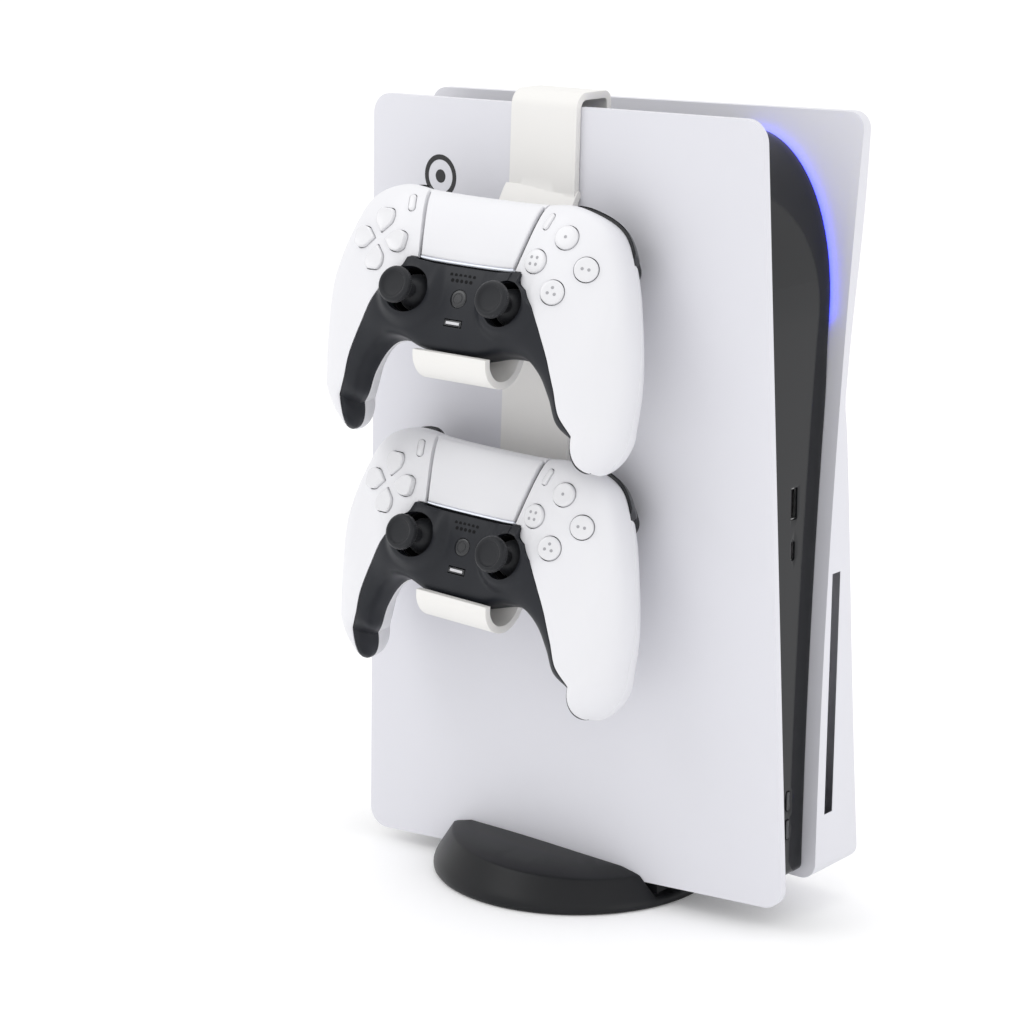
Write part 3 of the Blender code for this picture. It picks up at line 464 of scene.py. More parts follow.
def fascia():
    po, pi_ = profile(0.0), profile(2.2)
    A, B = [], []
    nx = 12
    for (yo, zo), (yi, zi) in zip(po, pi_):
        a = left_inner(yo, zo) + flare(zo)
        b = right_inner(yo, zo) - flare(zo)
        A.append([(a + (b - a) * j / nx, yo, zo) for j in range(nx + 1)])
        B.append([(a + (b - a) * j / nx, yi, zi) for j in range(nx + 1)])
    o = grid_solid("fascia_skin", A, B, M_GLOSS)
    bevel(o, 0.9, 4, 50)
    apply(o, 45)
    for nm, lo, hi in (("a", (-6.0, -130, 209.5), (-0.4, -104, 225.7)), ("c", (-5.0, -130, 189.0), (-1.7, -107, 199.2)),
                       ("p", (-4.9, -130, 44.6), (-1.1, -104, 55.4)), ("e", (-4.9, -130, 59.6), (-1.1, -104, 70.4))):
        r = 1.55 if nm in ("c",) else (0.7 if nm == "a" else 1.7)
        c = cube("cut_" + nm, lo, hi, None, cut=True)
        bevel_y(c, r)
        boolean(o, c)
    bevel(o, 0.25, 2, 60)
    apply(o, 40)
    put(o, "console", "front_fascia", slot="piano_black")


def bevel_y(o, r):
    """Round the four edges of a box that run along Y."""
    bm = bmesh.new()
    bm.from_mesh(o.data)
    es = [e for e in bm.edges if abs((e.verts[0].co - e.verts[1].co).normalized().y) > 0.9]
    bmesh.ops.bevel(bm, geom=es, offset=r * MM, segments=5, profile=0.5, affect="EDGES")
    bm.to_mesh(o.data)
    bm.free()


fascia()

# port inserts: a metal collar and a dark tongue inside each port
for nm, x0, x1, z0, z1 in (("a", -6.0, -0.4, 209.5, 225.7), ("c", -5.0, -1.7, 189.0, 199.2)):
    bo = cube("port_%s_collar" % nm, (x0 + 0.25, FRONT_Y + 1.0, z0 + 0.25), (x1 - 0.25, FRONT_Y + 9.0, z1 - 0.25), M_PLATE_GOLD)
    bevel_y(bo, 0.5 if nm == "a" else 1.2)
    c = cube("cut_in", (x0 + 0.7, FRONT_Y - 2.0, z0 + 0.7), (x1 - 0.7, FRONT_Y + 8.4, z1 - 0.7), None, cut=True)
    bevel_y(c, 0.3 if nm == "a" else 0.8)
    boolean(bo, c)
    apply(bo)
    put(bo, "console", slot="steel")
    t = cube("port_%s_tongue" % nm, ((x0 + x1) / 2 + (0.3 if nm == "a" else -0.35), FRONT_Y + 2.0, z0 + 1.6),
             ((x0 + x1) / 2 + (1.5 if nm == "a" else 0.35), FRONT_Y + 8.5, z1 - 1.6), M_BLACK_AND_SHADE, bev=0.15)
    put(t, "console", slot="satin_black")
for nm, z in (("power_button", 50.0), ("eject_button", 65.0)):
    b = cube(nm + "_cap", (-4.5, FRONT_Y - 0.5, z - 5.0), (-1.5, FRONT_Y + 4.2, z + 5.0), M_GREY)
    bevel_y(b, 1.35)
    bevel(b, 0.3, 2, 50)
    apply(b)
    b.data.materials.clear()
    b.data.materials.append(M_BUMPER)
    put(b, nm, nm, slot="button_grey")

# ------------------------------------------------- carried-over CAD nodes
for n, m in (("core_housing", M_SATIN), ("light_guide", M_BLUE), ("motherboard", M_BOARD), ("power_supply", M_STEEL),
             ("heat_sink", M_FINS), ("optical_drive", M_STEEL), ("cooling_fan", M_SATIN)):
    o = NODES[n]
    for s in o.material_slots:
        s.material = m
for s in ("upper", "lower"):
    for n, m in (("circuit_board", M_BOARD), ("battery", M_GREY), ("left_gimbal", M_GREY), ("right_gimbal", M_GREY)):
        for sl in NODES[s + "_" + n].material_slots:
            sl.material = m


# ------------------------------------------------------------------ stand
def stand_top(y):
    return 1.0 - 0.30 * smooth(-y, -80, 75)


def stand():
    base = NODES["stand"]
    prof = [(0.02, 0.4), (STAND_R - 6, 0.4), (STAND_R - 3.0, 0.4), (STAND_R - 2.4, 0.0), (STAND_R - 1.6, 0.1), (STAND_R - 0.8, 0.6),
            (STAND_R - 0.2, 1.4), (STAND_R, 2.6),
            (STAND_R - 0.1, 4.0), (STAND_R - 0.6, 5.6), (STAND_R - 1.5, 7.4)]
    for k in range(1, 9):
        t = k / 8
        prof.append((STAND_R - 1.5 - 8.2 * t, 7.4 + 13.0 * t))
    prof += [(STAND_R - 10.1, 20.9), (STAND_R - 10.8, 21.3), (STAND_R - 12.2, 21.9), (STAND_R - 20.0, 24.2), (0.02, 24.6)]
    SEG = 160
    rings = []
    for r, z in prof:
        rings.append([(r * cos(2 * pi * i / SEG), STAND_Y + r * sin(2 * pi * i / SEG),
                       z * stand_top(STAND_Y + r * sin(2 * pi * i / SEG))) for i in range(SEG)])
    o = new_object("stand_skin", loft(rings), M_SATIN, 30)
    rows = [(z, -85, 115) for z in (5.2, 9.0, 14.0, 20.0, 30.0)]
    ch = grid_solid("cut_channel", sheet_grid(rows, lambda y, z: left_outer(y, z) - 0.35, 12),
                    sheet_grid(rows, lambda y, z: right_outer(y, max(z, 20)) + 1.35, 12), None)
    boolean(o, ch)
    apply(o, 30)
    sad = grid_solid("cut_saddle", sheet_grid([(z, -52, 82) for z in (4.8, 12.0, 26.2)], lambda y, z: left_inner(y, 20) + 1.5, 6),
                     sheet_grid([(z, -52, 82) for z in (4.8, 12.0, 26.2)], lambda y, z: right_inner(y, 20) - 1.5, 6), None)
    boolean(o, sad, "UNION")
    bevel(o, 0.5, 3, 40)
    apply(o, 32)
    put(o, "console", "stand", slot="satin_black")


stand()

# ------------------------------------------------------- controller's skin
SPOKE = [0.0, 0.12, 0.24, 0.36, 0.48, 0.60, 0.72, 0.86, 1.0]
TABLE = [
    (0.0, -22.8, 0.0, 47.7, -3.3, -22.0, 3.4, -1.1, 5.6),
    (8.5, -22.8, 14.9, 47.8, -3.3, -22.4, 3.4, -1.1, 4.7),
    (16.8, -21.9, 29.5, 48.3, -2.6, -23.4, 3.2, -1.6, 2.0),
    (26.8, -18.9, 45.5, 49.3, -1.1, -27.8, 3.0, -1.8, 1.9),
    (36.9, -19.2, 61.6, 43.0, -1.6, -33.9, 2.7, -2.8, 2.5),
    (44.5, -25.7, 70.3, 28.4, -4.5, -37.1, 2.5, -2.2, 0.2),
    (49.7, -34.9, 76.5, 7.6, -6.9, -40.9, 2.3, -2.0, -1.0),
    (53.2, -44.3, 78.8, -17.9, -12.0, -46.7, 2.2, -4.1, -1.6),
    (59.0, -49.0, 77.1, -39.9, -17.5, -51.9, 2.2, -3.8, -3.0),
]
TIP = 15.0                       # length of the rounded end of a grip
TIP_DIR = np.array([-0.19, -1.05, -0.31])
_X = np.asarray(SPOKE)
_Y = np.asarray(TABLE)
_D = np.gradient(_Y, _X, axis=0)


def table(x):
    i = int(np.clip(np.searchsorted(_X, x) - 1, 0, len(_X) - 2))
    h = _X[i + 1] - _X[i]
    t = (x - _X[i]) / h
    return ((2 * t ** 3 - 3 * t ** 2 + 1) * _Y[i] + (t ** 3 - 2 * t ** 2 + t) * h * _D[i]
            + (-2 * t ** 3 + 3 * t ** 2) * _Y[i + 1] + (t ** 3 - t ** 2) * h * _D[i + 1])


def surf(s, th, t=0.0):
    """Point of the body's skin at spoke s and angle th, t mm under the skin."""
    sg = 1.0 if s >= 0 else -1.0
    q = abs(s)
    psi = 0.0
    if q > 1:
        psi = (q - 1) * pi / 2
        q = 1.0
    iu, iv, ou, ov, fw, bw, n, lean, bulge = table(q)
    c = np.array([(iu + ou) / 2, (iv + ov) / 2, (fw + bw) / 2])
    e = np.array([ou - iu, ov - iv])
    L = np.hypot(*e)
    e = e / L
    a = (L / 2 - t) * cos(psi)
    h = ((fw - bw) / 2 - t) * cos(psi)
    c = c + TIP_DIR * (TIP - t) * sin(psi)
    C, S = cos(th), sin(th)
    if S > 0:
        n = n + 1.3 - 1.1 * smooth(q, 0.55, 1.0)
    x = np.sign(C) * abs(C) ** (2 / n)
    y = np.sign(S) * abs(S) ** (2 / n)
    u = c[0] + e[0] * a * x
    v = c[1] + e[1] * a * x
    w = c[2] + h * y + lean * x
    g = max(0.0, -C) * max(0.0, -S) * 2
    v -= bulge * g * cos(psi)
    return np.array([sg * u, v, w])


_S = np.linspace(0, 1, 91)
_T = np.linspace(radians(8), radians(172), 123)
_GRID = np.array([[surf(s, t) for t in _T] for s in _S])
_FLAT = _GRID.reshape(-1, 3)


def skin_w(u, v):
    d = (_FLAT[:, 0] - abs(u)) ** 2 + (_FLAT[:, 1] - v) ** 2
    k = np.argsort(d)[:4]
    wt = 1 / (d[k] + 0.01)
    return float((_FLAT[k, 2] * wt).sum() / wt.sum())


def skin_n(u, v):
    """Outward normal of the front skin above (u, v)."""
    e = 1.5
    gx = (skin_w(abs(u) + e, v) - skin_w(abs(u) - e, v)) / (2 * e) * (1 if u >= 0 else -1)
    gy = (skin_w(u, v + e) - skin_w(u, v - e)) / (2 * e)
    n = np.array([-gx, -gy, 1.0])
    return n / np.linalg.norm(n)


PART = -6.0
SIDE = 0.255
WIN0, WIN1 = 0.30, 0.58


def th_front(s):
    q = abs(s)
    if q < SIDE:
        return 27.0
    return float(np.interp(q, [SIDE, 0.30, 0.36, 0.42, 0.48, 0.54, 0.60, 0.66, 0.72, 0.86, 1.0, 2.0],
                           [89.75, 89.9, 91.6, 97, 105, 111.7, 117, 121.5, 124.5, 129, 131, 130]))


def th_rear(s):
    q = abs(s)
    return float(np.interp(q, [0, 0.24, 0.48, 0.72, 1.0, 2.0], [195, 195, 192.5, 189, 192, 198]))


def beyond(s, th, gap):
    """Angle that lies gap mm past th along the skin."""
    a = surf(s, th * D2R)
    lo, hi = 0.0, 6.0
    for _ in range(22):
        m = (lo + hi) / 2
        if np.linalg.norm(surf(s, (th + m) * D2R) - a) < gap:
            lo = m
        else:
            hi = m
    return th + hi


def before(s, th, gap):
    """Angle that lies gap mm before th along the skin."""
    a = surf(s, th * D2R)
    lo, hi = 0.0, 6.0
    for _ in range(22):
        m = (lo + hi) / 2
        if np.linalg.norm(surf(s, (th - m) * D2R) - a) < gap:
            lo = m
        else:
            hi = m
    return th - hi


def trim_top(s):
    return beyond(s, th_front(s) if abs(s) > SIDE else 89.85, 0.35)


def th_open(s):
    q = abs(s)
    k = smooth(q, WIN0 - 0.006, WIN0 + 0.006) * (1 - smooth(q, WIN1 - 0.006, WIN1 + 0.006))
    return 360.0 + PART - 64.0 * k


def patch(name, ss, ta, tb, nth, depth, mat, raise_=None, sharp=40, rnd=0.45, rnd_s=0.0):
    """Piece of the skin between two angles, with its outer edges rounded over."""
    O, I = [], []
    ss = list(ss)
    sunk = {}
    if rnd_s:
        d = 1 if ss[-1] > ss[0] else -1
        a, b = ss[0], ss[-1]
        mid = [x for x in ss if (x - a) * d > 0.0085 and (b - x) * d > 0.0085]
        head = [(a, 1.0), (a + d * 0.0012, 0.5), (a + d * 0.0032, 0.16), (a + d * 0.007, 0.0)]
        tail = [(b - d * 0.007, 0.0), (b - d * 0.0032, 0.16), (b - d * 0.0012, 0.5), (b, 1.0)]
        ss = [x for x, k in head] + mid + [x for x, k in tail]
        sunk = {x: k * rnd_s for x, k in head + tail}
    for s in ss:
        a, b = ta(s), tb(s)
        if rnd:
            steps = [(0.0, 1.0), (0.15, 0.5), (0.45, 0.16), (1.0, 0.0)]
            lo = [(beyond(s, a, rnd * x) if x else a, k) for x, k in steps]
            hi = [(before(s, b, rnd * x) if x else b, k) for x, k in steps]
        else:
            lo, hi = [(a, 0.0)], [(b, 0.0)]
        a2, b2 = lo[-1][0], hi[-1][0]
        cols = lo + [(a2 + (b2 - a2) * k / nth, 0.0) for k in range(1, nth)] + hi[::-1]
        ro, ri = [], []
        for th, k in cols:
            th = th * D2R
            sink = max(k * rnd, sunk.get(s, 0.0))
            up = raise_(s, th) if raise_ else 0.0
            if isinstance(up, tuple):
                p = surf(s, th, sink) + np.array(up)
            else:
                p = surf(s, th, sink - up)
            d = depth(s, th) if callable(depth) else depth
            ro.append(p)
            ri.append(surf(s, th, d))
        O.append(ro)
        I.append(ri)
    return grid_solid(name, O, I, mat, sharp)


def mound(s, th):
    p = surf(s, th, 0.0)
    r = np.hypot(abs(p[0]) - STICK_U, p[1] - STICK_V)
    if sin(th) < -0.15:
        return 0.0
    k = 1 - smooth(r, 11.6, 17.0)
    return (0.0, 0.0, 3.0 * k)


def at(u, v, w=0.0):
    return Matrix.Translation(Vector((u, v, w)) * MM)


def on_skin(u, v, lift=0.0, keep_axis=0.0):
    """Frame on the skin: z along its outward normal."""
    n = Vector(skin_n(u, v))
    if keep_axis:
        n = (n * (1 - keep_axis) + Vector((0, 0, 1)) * keep_axis).normalized()
    x = Vector((1, 0, 0)) - n * n.x
    x.normalize()
    y = n.cross(x)
    m = Matrix((x, y, n)).transposed().to_4x4()
    return Matrix.Translation((Vector((u, v, skin_w(u, v))) + n * lift) * MM) @ m


def petal(k, grow=0.0, n=5):
    """Outline of one petal of the direction pad, with rounded corners."""
    base = [(0.0, 2.9 - grow * 1.5), (4.5 + grow, 7.4), (4.9 + grow, 11.6), (3.2 + grow * 0.7, 14.0 + grow),
            (-3.2 - grow * 0.7, 14.0 + grow), (-4.9 - grow, 11.6), (-4.5 - grow, 7.4)]
    rad = [0.8, 1.6, 2.2, 1.8, 1.8, 2.2, 1.6]
    pts = []
    m = len(base)
    for i in range(m):
        p = np.array(base[i])
        a = np.array(base[i - 1]) - p
        b = np.array(base[(i + 1) % m]) - p
        la, lb = np.linalg.norm(a), np.linalg.norm(b)
        d = min(rad[i], la * 0.45, lb * 0.45)
        p0, p1 = p + a / la * d, p + b / lb * d
        for k2 in range(n + 1):
            t = k2 / n
            q = (1 - t) ** 2 * p0 + 2 * t * (1 - t) * p + t * t * p1
            pts.append(q)
    an = pi / 2 * k
    return [(x * cos(an) - y * sin(an), x * sin(an) + y * cos(an)) for x, y in pts]


BUTTONS = {"north": (0, 1), "east": (1, 0), "south": (0, -1), "west": (-1, 0)}


def near(vals, lo, hi, step):
    return [v for v in np.arange(lo, hi, step)]


def spokes(lo, hi, n, extra=()):
    v = list(np.linspace(lo, hi, n)) + [e for e in extra if lo <= e <= hi]
    v = sorted(v)
    out = [v[0]]
    for x in v[1:]:
        if x - out[-1] > 0.0015:
            out.append(x)
    return out


def controller(side, mtx):
    body = side + "_controller"
    done = []

    def place(o, bd, *nodes, slot="controller_white"):
        done.append((o, bd, [side + "_" + n for n in nodes], slot))
        return o

    half = [0.0] + list(np.linspace(0.03, SIDE - 0.006, 8)) + [SIDE - 0.004, SIDE + 0.004] \
        + list(np.linspace(SIDE + 0.012, 1.0, 58)) + [1 + 0.9 * (1 - cos(a)) if False else 1 + x for x in
                                                      np.linspace(0.06, 0.985, 14)]
    full = sorted(set([-s for s in half] + half))
    tip_ok = full

    # ------------------------------------------------ front shell (wings)
    front = patch(side + "_front_skin", tip_ok, lambda s: PART + 0.5, th_front, 44, 1.6, M_SHELL)
    for nm, (dx, dy) in BUTTONS.items():
        u, v = PAD_U + dx * BTN_OFF, PAD_V + dy * BTN_OFF
        boolean(front, turned("cut_" + nm, [(0.001, -8), (BTN_R + 0.42, -8), (BTN_R + 0.42, 8), (0.001, 8)], None, 48,
                              on_skin(u, v), cut=True))
    for k in range(4):
        boolean(front, prism("cut_petal_%d" % k, petal(k, 0.42), -9, 8, None, on_skin(-PAD_U, PAD_V), cut=True))
    for sg in (-1, 1):
        R = Matrix.Rotation(radians(-14 * sg), 4, "Z")
        pill = [((1.5 + 0.38) * cos(a), 2.4 * (1 if sin(a) > 0 else -1) + (1.5 + 0.38) * sin(a)) for a in
                np.linspace(0.0001, 2 * pi + 0.0001, 32, endpoint=False)]
        boolean(front, prism("cut_pill_%d" % sg, pill, -8, 8, None, on_skin(sg * 36.0, 40.0) @ R, cut=True))
    apply(front, 40)
    place(front, body, "front_shell")

    # painted shade: a dark layer under the wings shows in the gaps round the touchpad and buttons, standing in for the
    # shade in them
    under = patch(side + "_under_layer", [s for s in full if abs(s) <= 0.75], lambda s: 6.0,
                  lambda s: before(s, th_front(s) if abs(s) > SIDE + 0.001 else 89.7, 0.4) if abs(s) > SIDE + 0.001 else 89.9, 24,
                  lambda s, th: 3.4, M_BLACK_AND_SHADE, lambda s, th: -2.2)
    place(under, body, slot="trim_black")

    # ------------------------------------------------ rear shell
    rear = patch(side + "_rear_skin", tip_ok, lambda s: th_rear(s) + 0.5, th_open, 60, 1.6, M_SHELL)
    place(rear, body, "rear_shell")

    # ------------------------------------------------ trim
    hs = [0.0] + list(np.linspace(0.012, 0.60, 66)) + [SIDE - 0.001, SIDE + 0.001] + list(np.linspace(0.61, 1.0, 30)) \
        + [1 + x for x in np.linspace(0.06, 0.985, 14)]
    ts = sorted(set([-s for s in hs] + hs))
    trim = patch(side + "_trim_skin", ts, trim_top, th_rear, 60, 1.8,
                 M_TRIM, mound, rnd=0.3)
    for sg in (-1, 1):
        boolean(trim, turned("cut_stick_%d" % sg, [(0.001, -12), (10.4, -12), (10.4, 20), (0.001, 20)], None, 72,
                             at(sg * STICK_U, STICK_V), cut=True))
    boolean(trim, ring_cut("cut_home", 4.2, at(0, 1.0)))
    c = cube("cut_mute", (-4.7, -11.6, -12), (4.7, -8.2, 8), None, cut=True)
    boolean(trim, c)
    for m in trim.modifiers:
        m.use_self = True
    keep = trim.data.copy()
    mods = [(m.object.data.copy(), m.object.name) for m in trim.modifiers]
    apply(trim, 40)
    if max(v.co.z for v in trim.data.vertices) > 6 * MM:      # the cut went wrong: cut with the other solver
        trim.data = keep
        for me, nm in mods:
            c = bpy.data.objects.new(nm, me)
            CUTS.objects.link(c)
            boolean(trim, c)
        for m in trim.modifiers:
            m.solver = "FAST"
        apply(trim, 40)
    place(trim, body, "trim", slot="trim_black")

    # ------------------------------------------------ touchpad and light bar
    pad = patch(side + "_touchpad_skin", spokes(-SIDE + 0.012, SIDE - 0.012, 40), lambda s: 28.8,
                lambda s: 89.5, 40, 2.0, M_PAD, lambda s, th: 0.6, rnd=0.7, rnd_s=0.7)
    place(pad, side + "_touchpad", "touchpad")
    bar = patch(side + "_light_bar", spokes(-SIDE + 0.010, SIDE - 0.010, 30), lambda s: beyond(s, 89.5, 0.25), lambda s: beyond(s, 89.5, 0.95), 4, 2.0, M_BAR,
                lambda s, th: 0.1, rnd=0.0)
    place(bar, body, slot="controller_white")

    # ------------------------------------------------ face buttons
    for nm, (dx, dy) in BUTTONS.items():
        u, v = PAD_U + dx * BTN_OFF, PAD_V + dy * BTN_OFF
        F = on_skin(u, v)
        prof = [(0.001, -5.5), (BTN_R, -5.5), (BTN_R, 0.55), (BTN_R - 0.08, 0.85), (BTN_R - 0.35, 1.12),
                (BTN_R - 0.8, 1.25), (BTN_R - 1.6, 1.32), (BTN_R - 3.2, 1.36), (0.001, 1.38)]
        b = turned(side + "_" + nm + "_cap", prof, M_BUTTON, 64, F)
        place(b, side + "_" + nm, nm + "_button")
        # generic dots count the buttons
        cnt = {"north": 1, "east": 2, "south": 3, "west": 4}[nm]
        offs = {1: [(0, 0)], 2: [(-1.5, 0), (1.5, 0)], 3: [(-1.6, -0.95), (1.6, -0.95), (0, 1.75)],
                4: [(-1.5, -1.5), (1.5, -1.5), (1.5, 1.5), (-1.5, 1.5)]}[cnt]
        for i, (a, c2) in enumerate(offs):
            d = turned(side + "_%s_dot_%d" % (nm, i), [(0.001, 1.2), (0.72, 1.2), (0.72, 1.40), (0.55, 1.44), (0.001, 1.45)], M_INK2, 20,
                       F @ at(a, c2))
            place(d, side + "_" + nm, slot="button_grey")

    # ------------------------------------------------ direction pad
    F = on_skin(-PAD_U, PAD_V)
    dp = turned(side + "_dpad_core", [(0.001, -8.2), (7.8, -8.2), (7.8, -6.4), (0.001, -6.4)], M_SHELL, 48, F)
    place(dp, side + "_dpad", "dpad")
    for k in range(4):
        pts = petal(k)
        bm = bmesh.new()
        cx, cy = np.mean([p[0] for p in pts]), np.mean([p[1] for p in pts])
        rings = []
        for z, sc in ((-6.6, 1.0), (0.55, 1.0), (0.85, 0.985), (1.08, 0.95), (1.18, 0.90), (1.12, 0.80), (1.0, 0.6), (0.95, 0.3), (0.94, 0.02)):
            rings.append([(cx + (x - cx) * sc, cy + (y - cy) * sc, z) for x, y in pts])
        p = new_object(side + "_petal_%d" % k, loft(rings), M_BUTTON, 40, mtx=F)
        place(p, side + "_dpad")

    # ------------------------------------------------ create and options
    for nm, sg in (("create", -1), ("options", 1)):
        R = Matrix.Rotation(radians(-14 * sg), 4, "Z")
        rings = []
        for z, rr in ((-4, 1.5), (0.35, 1.5), (0.62, 1.38), (0.78, 1.1), (0.85, 0.6), (0.86, 0.02)):
            rings.append([(rr * cos(a), 2.4 * (1 if sin(a) > 0 else -1) * min(1, 0.4 + rr / 2.5) + rr * sin(a), z) for a in
                          np.linspace(0.0001, 2 * pi + 0.0001, 40, endpoint=False)])
        p = new_object(side + "_" + nm + "_cap", loft(rings), M_BUTTON, 40, mtx=on_skin(sg * 36.0, 40.0) @ R)
        place(p, side + "_" + nm, nm + "_button")

    # ------------------------------------------------ home and mute
    Fh = on_skin(0, 1.0)
    h = turned(side + "_home_cap", [(0.001, -4), (3.95, -4), (3.95, -0.1), (3.75, 0.12), (3.3, 0.2), (2.55, 0.2), (2.45, 0.02), (1.95, 0.02),
                                    (1.85, 0.2), (0.001, 0.22)], M_BUMPER, 48, Fh)
    place(h, side + "_home", "home_button", slot="trim_black")
    Fm = on_skin(0, -9.9)
    mu = cube(side + "_mute_cap", (-4.5, -1.3, -3.0), (4.5, 1.3, 0.28), M_BUMPER, bev=0.3)
    mu.data.transform(Fm)
    place(mu, side + "_mute", "mute_button", slot="button_grey")
    mb = cube(side + "_mute_bar", (-3.5, -0.62, 0.1), (3.5, 0.62, 0.36), M_MUTE, bev=0.1, seg=1)
    mb.data.transform(Fm)
    place(mb, side + "_mute", slot="button_grey")

    # ------------------------------------------------ speaker holes, drawn as dark discs of painted shade
    for row, cnt in ((0, 6), (1, 5)):
        for i in range(cnt):
            u = (i - (cnt - 1) / 2) * 2.4 - 0.6
            v = 11.2 - row * 2.4
            d = turned(side + "_speaker_%d_%d" % (row, i), [(0.001, -0.5), (0.82, -0.5), (0.82, 0.05), (0.001, 0.05)], M_BLACK_AND_SHADE, 16,
                       on_skin(u, v))
            place(d, body, slot="satin_black")

    # ------------------------------------------------ bumpers and triggers
    for nm, sg in (("left", -1), ("right", 1)):
        ss = [sg * s for s in np.linspace(WIN0 + 0.010, WIN1 - 0.010, 34)]
        b = patch(side + "_" + nm + "_bumper_skin", ss, lambda s: PART - 1.1, lambda s: -27.0, 14, 2.0, M_BUMPER,
                  lambda s, th: 1.7, rnd=0.7, rnd_s=0.7)
        place(b, side + "_" + nm + "_bumper", nm + "_bumper", slot="trim_black")
        tt = [sg * s for s in np.linspace(WIN0 + 0.022, WIN1 - 0.022, 34)]
        t = patch(side + "_" + nm + "_trigger_skin", tt, lambda s: -34.0, lambda s: -63.0, 22, 2.0, M_RUBBER,
                  lambda s, th: 2.0 + 4.6 * smooth(-th, 0.55, 1.05), rnd=0.9, rnd_s=1.0)
        place(t, side + "_" + nm + "_trigger", nm + "_trigger", slot="trim_black")

    # ------------------------------------------------ sticks
    for nm, sg in (("left", -1), ("right", 1)):
        A = at(sg * STICK_U, STICK_V)
        prof = [(0.001, -12.4), (2.8, -12.4), (3.2, -10.0)]
        for k in range(12):                              # dome about the pivot
            a = radians(-5 + 70 * k / 11)
            prof.append((8.6 * cos(a), -9.0 + 8.6 * sin(a)))
        prof += [(3.6, 0.4), (3.6, 3.5), (3.8, 5.0), (4.4, 6.3), (5.5, 7.2), (6.8, 7.6), (7.6, 8.0), (7.95, 8.6),
                 (8.1, 9.3), (8.1, 9.9), (8.05, 10.4), (7.85, 11.0), (7.45, 11.5), (6.95, 11.85), (6.5, 11.92), (6.05, 11.8),
                 (5.7, 11.5), (5.4, 11.1), (4.8, 10.85), (3.4, 10.68), (1.8, 10.62), (0.001, 10.6)]
        knurl = {i for i, (r, z) in enumerate(prof) if r > 7.9 and 8.4 < z < 10.8}
        st = turned(side + "_" + nm + "_stick_skin", prof, M_RUBBER, 240, A, sharp=60,
                    wave=lambda k, a: (0.07 * (1 if sin(60 * a) > 0 else -1)) if k in knurl else 0.0)
        place(st, side + "_" + nm + "_stick", nm + "_stick", slot="stick_rubber")
        bowl = turned(side + "_" + nm + "_stick_well", [(10.95, -4.6), (10.95, -10.6), (8.6, -13.6), (8.2, -13.2), (10.3, -10.2), (10.3, -4.6)],
                      M_BLACK_AND_SHADE, 64, A)
        bowl_fix(bowl)
        place(bowl, body, slot="satin_black")

    for o, bd, nodes, slot in done:
        o.data.transform(mtx)
        put(o, bd, *nodes, slot=slot)


def ring_cut(name, r, mtx):
    return turned(name, [(0.001, -8), (r, -8), (r, 8), (0.001, 8)], None, 48, mtx, cut=True)


def bowl_fix(o):
    """The well is a ring: its two end caps are replaced by a join of the first and last loops."""
    bm = bmesh.new()
    bm.from_mesh(o.data)
    big = [f for f in bm.faces if len(f.verts) > 4]
    bmesh.ops.delete(bm, geom=big, context="FACES_ONLY")
    loose = [e for e in bm.edges if e.is_boundary]
    bmesh.ops.bridge_loops(bm, edges=loose)
    bmesh.ops.recalc_face_normals(bm, faces=bm.faces)
    bm.to_mesh(o.data)
    bm.free()


def frame_of(origin, roll, tilt, yaw, size):
    """Axes of a controller: u to the player's right (-Y), v up the face, w out of it."""
    r, t, y = radians(roll), radians(tilt), radians(yaw)
    V0 = Vector((sin(t), 0, cos(t)))
    W0 = Vector((-cos(t), 0, sin(t)))
    U0 = V0.cross(W0)
    U1 = U0 * cos(y) - W0 * sin(y)
    W = W0 * cos(y) + U0 * sin(y)
    U = U1 * cos(r) - V0 * sin(r)
    V = V0 * cos(r) + U1 * sin(r)
    m = Matrix((U, V, W)).transposed().to_4x4()
    return Matrix.Translation(Vector(origin) * MM) @ m @ Matrix.Scale(size, 4)


UPM = frame_of((-103.6, 12.05, 318.05), 1.0, 20.1, 4.2, K)
LOM = frame_of((-90.8, 20.9, 191.0), 2.7, 18.4, 1.3, K)
UPT = frame_of((-109.0, 8.7, 322.0), 1.2, 29.0, 0.0, HK)
LOT = frame_of((-97.0, 17.5, 194.8), 3.1, 29.0, 0.0, HK)
controller("upper", UPM)
controller("lower", LOM)

# ----------------------------------------------------------------- hanger
HW, HT, HU = 21.5, 3.6, 22.0


def smooth_path(pts, step=1.2):
    """Catmull-Rom curve through the points, sampled finely."""
    P = np.array([pts[0]] + list(pts) + [pts[-1]], float)
    out = []
    for i in range(1, len(P) - 2):
        n = max(2, int(np.linalg.norm(P[i + 1] - P[i]) / step))
        for k in range(n):
            t = k / n
            a, b, c, d = P[i - 1], P[i], P[i + 1], P[i + 2]
            out.append(0.5 * ((2 * b) + (c - a) * t + (2 * a - 5 * b + 4 * c - d) * t ** 2 + (3 * b - a - 3 * c + d) * t ** 3))
    out.append(P[-2])
    return out


def ribbon(name, path, t, place, mat, across=14, end_round=0.0):
    P = np.array(path, float)
    T = np.gradient(P, axis=0)
    T /= np.linalg.norm(T, axis=1)[:, None]
    N = np.stack([-T[:, 1], T[:, 0]], 1)
    rings = []
    m = len(P)
    dist = np.concatenate([[0], np.cumsum(np.linalg.norm(np.diff(P, axis=0), axis=1))])
    L = dist[-1]
    for i, (p, nn) in enumerate(zip(P, N)):
        k = 0.0
        for d in (dist[i], L - dist[i]):
            if end_round and d < end_round:
                k = max(k, end_round - sqrt(max(0, end_round ** 2 - (end_round - d) ** 2)))
        top = [place(p + nn * t / 2, j / across * 2 - 1, k) for j in range(across + 1)]
        bot = [place(p - nn * t / 2, j / across * 2 - 1, k) for j in range(across, -1, -1)]
        rings.append(top + bot)
    return new_object(name, loft(rings), mat, 50)


